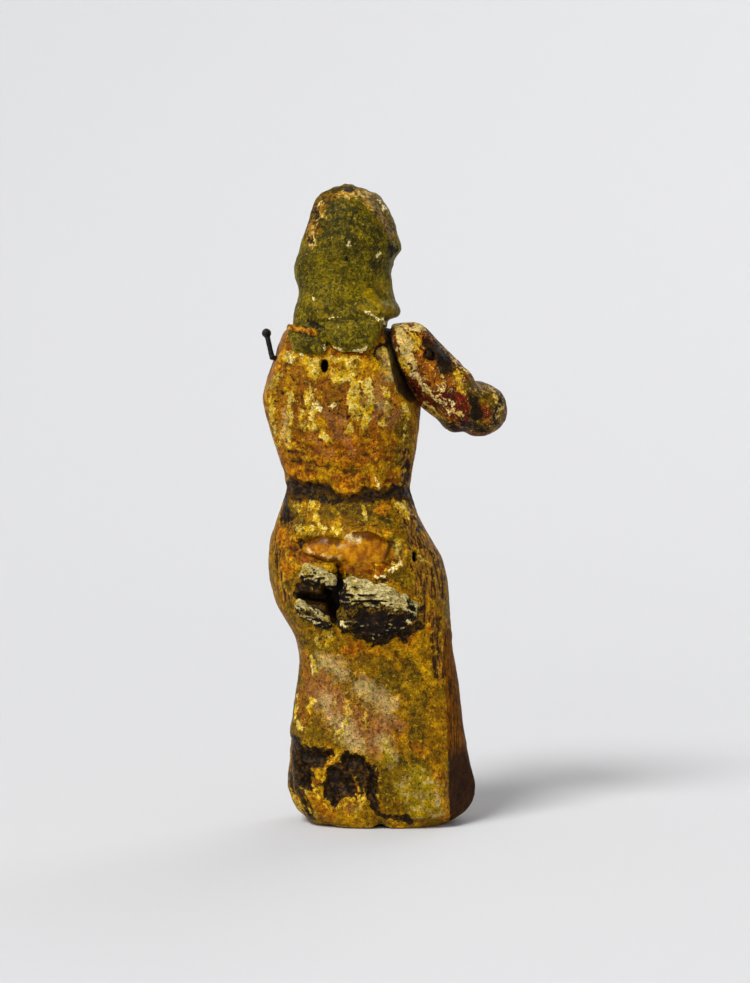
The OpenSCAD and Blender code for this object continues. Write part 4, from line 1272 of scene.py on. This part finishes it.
LOOP_RIGHT_STROKES = {
    # painted shade on the loop's underside and where its left end hangs over the void
    "dark": [
        (1.9, 10.6, 56.6, 9.2, 54.4, 10, 52.6), (1.3, 10, 52, 4, 51.4, -2, 50.8, -7, 49.6),
        (3.2, 10, 49.4, 2, 48, -6, 48), (0.5, 5.6, 53.4, 4.4, 52.6), (0.5, 1.2, 53, 0, 52.4),
        (0.7, -6.4, 52.8, -7.4, 52),
    ],
    "olive": [(1.4, 10, 51, 7, 50.4), (0.8, 5, 52, -4, 51.6), (0.8, 9.4, 48.4, 8, 47.4)],
    "lime": [(0.9, 8, 53, 3.6, 51.8), (0.6, 7, 57.6, 6, 56)],
    "flake": [
        (0.35, 10, 48.8, 9.2, 48.2), (0.3, -6, 48.9, -7.2, 48.6), (0.25, -4.8, 47.8, -5, 47.7),
        (0.15, -1.2, 48.4, -2, 48.2),
    ],
}
LOOP_LEFT_STROKES = {
    "dark": [(0.9, 17.4, 58.4, 12, 56.2), (0.3, 16, 60.4, 15.2, 59.6)],
    "lime": [(0.8, 18.6, 60.6, 17, 59.6)],
    "olive": [(0.5, 17.4, 60.4, 14, 58.4)],
}
TAIL_STROKES = {
    "dark": [(0.6, 18.6, 51, 12, 46.8), (0.4, 16.4, 51.6, 15.6, 51), (0.3, 13.8, 50.2, 13.2, 49.8)],
    "olive": [(0.35, 18.4, 51, 13.4, 48.6)],
    "lime": [(0.5, 13.4, 49.4, 12.6, 48.4)],
}
GLUE_POOLS = [(1.3, 17.2, 65.4, 11, 65), (2.8, 7.8, 64.8, 1.6, 64.8)]
# Painted highlights on the glue, as strokes.
GLUE_GLINTS = [
    (0.5, 17.2, 65.2, 16.6, 64.8), (0.35, 13.6, 64.2, 12.6, 63.8), (0.6, 8.2, 68.6, 5.6, 67.4),
    (0.3, 2.6, 60.8, 1.8, 61.6), (0.25, 9.8, 63.6, 9.6, 61),
]


def make_glue(material):
    """Two joined pools of amber glue with soft rims."""
    clay = Clay.of_nodes("resin_patch").remesh(0.4, relax=20)
    p = clay.points
    clay.swell(0.35 * cloud(p, 3.4, 81, 3) - 0.4 * bump(p, (10.4, 13, 67.6), (1.6, 4, 1.6)))
    clay.remesh(0.25, relax=3)
    flat = clay.points[:, [0, 2]]
    fields = {"edge": -inside(flat, GLUE_POOLS), "painted_glint": inside(flat, GLUE_GLINTS)}
    return clay.piece("amber_glue", "figure", "amber_resin", ["resin_patch"], material, fields)


# ---------------------------------------------------------------- floor, light and camera

def make_stage():
    """Pale floor that rises, ever more steeply, into a shallow bowl all round, so that no horizon shows."""
    flat, rim, steepness = 0.25, 3.1, 6.4
    reach = [0.0, flat] + list(np.linspace(flat, rim, 24)[1:])
    profile = [(r, max(r - flat, 0) ** 2 / steepness) for r in reach]
    turns = 96
    bm = bmesh.new()
    rings = []
    corners = [2 * math.pi * k / turns for k in range(turns)]
    for r, z in profile[1:]:
        rings.append([bm.verts.new((r * math.cos(a), r * math.sin(a), z)) for a in corners])
    middle = bm.verts.new((0, 0, 0))
    for k in range(turns):
        bm.faces.new((middle, rings[0][k], rings[0][(k + 1) % turns]))
    for a, b in zip(rings[:-1], rings[1:]):
        for k in range(turns):
            bm.faces.new((a[k], b[k], b[(k + 1) % turns], a[(k + 1) % turns]))
    mesh = mesh_of(bm, "floor")
    smooth_shading(mesh)
    paint = bpy.data.materials.new("floor")
    paint.use_nodes = True
    shader = paint.node_tree.nodes["Principled BSDF"]
    shader.inputs["Base Color"].default_value = srgb(0.825, 0.825, 0.83)
    shader.inputs["Roughness"].default_value = 0.9
    mesh.materials.append(paint)
    add("floor", mesh)


def soft_light(name, at, target, size, power):
    """A round, glowing disc at one point that looks at another."""
    lamp = bpy.data.lights.new(name, "AREA")
    lamp.shape = "DISK"
    lamp.size = size
    lamp.energy = power
    obj = add(name, lamp)
    obj.location = at
    obj.rotation_euler = (Vector(target) - Vector(at)).to_track_quat("-Z", "Y").to_euler()


def distant_light(name, way, power, angle):
    """A broad, even light from far off, which lights floor and figure alike."""
    lamp = bpy.data.lights.new(name, "SUN")
    lamp.energy = power
    lamp.angle = angle
    add(name, lamp).rotation_euler = Vector(way).to_track_quat("Z", "Y").to_euler()


def make_lights():
    world = bpy.data.worlds.new("soft_sky")
    world.use_nodes = True
    world.node_tree.nodes["Background"].inputs["Color"].default_value = (0.98, 0.99, 1.0, 1.0)
    world.node_tree.nodes["Background"].inputs["Strength"].default_value = 0.3
    bpy.context.scene.world = world
    distant_light("key", way=(0.42, 0.52, 0.74), power=2.9, angle=0.4)
    distant_light("front_key", way=(-0.4, -0.75, 0.5), power=0.9, angle=0.7)
    soft_light("glint", at=(0.16, 0.42, 0.30), target=(0.003, 0, 0.08), size=0.10, power=0.15)


def make_camera():
    """Straight behind the figure, level with its middle; the frame is 236 mm high there."""
    distance, frame_high = 0.45, 0.2359
    lens = bpy.data.cameras.new("camera")
    lens.sensor_fit = "VERTICAL"
    lens.sensor_height = 36
    lens.lens = lens.sensor_height * distance / frame_high
    lens.clip_start = 0.01
    lens.clip_end = 10
    camera = add("camera", lens)
    camera.location = (0.0017, distance, 0.0789)
    camera.rotation_euler = (math.pi / 2, 0, math.pi)
    bpy.context.scene.camera = camera


# ---------------------------------------------------------------- putting it together

make_camera()
make_lights()
make_stage()
iron = black_iron()
cloth = gessoed_cloth()
make_body(painted_wood())
make_head(painted_hair())
make_arm(painted_sleeve())
make_hand(painted_skin())
make_left_pin(iron)
make_lump("bow_loop_right", "sash_loop_right", cloth, LOOP_RIGHT_STROKES, rough=0.9, voxel=0.2, under=0.25)
make_lump("bow_loop_left", "sash_loop_left", cloth, LOOP_LEFT_STROKES, rough=0.8, voxel=0.16, under=0.35)
make_lump("bow_tail", "sash_tail", cloth, TAIL_STROKES, rough=0.8, voxel=0.16, under=0.35)
make_glue(amber_resin())
for node, material in (("right_shoulder_pin", stained_iron()), ("neck_dowel", bare_wood())):
    frame["nodes"][node].data.materials.clear()
    frame["nodes"][node].data.materials.append(material)

bpy.context.scene.view_settings.view_transform = "Standard"
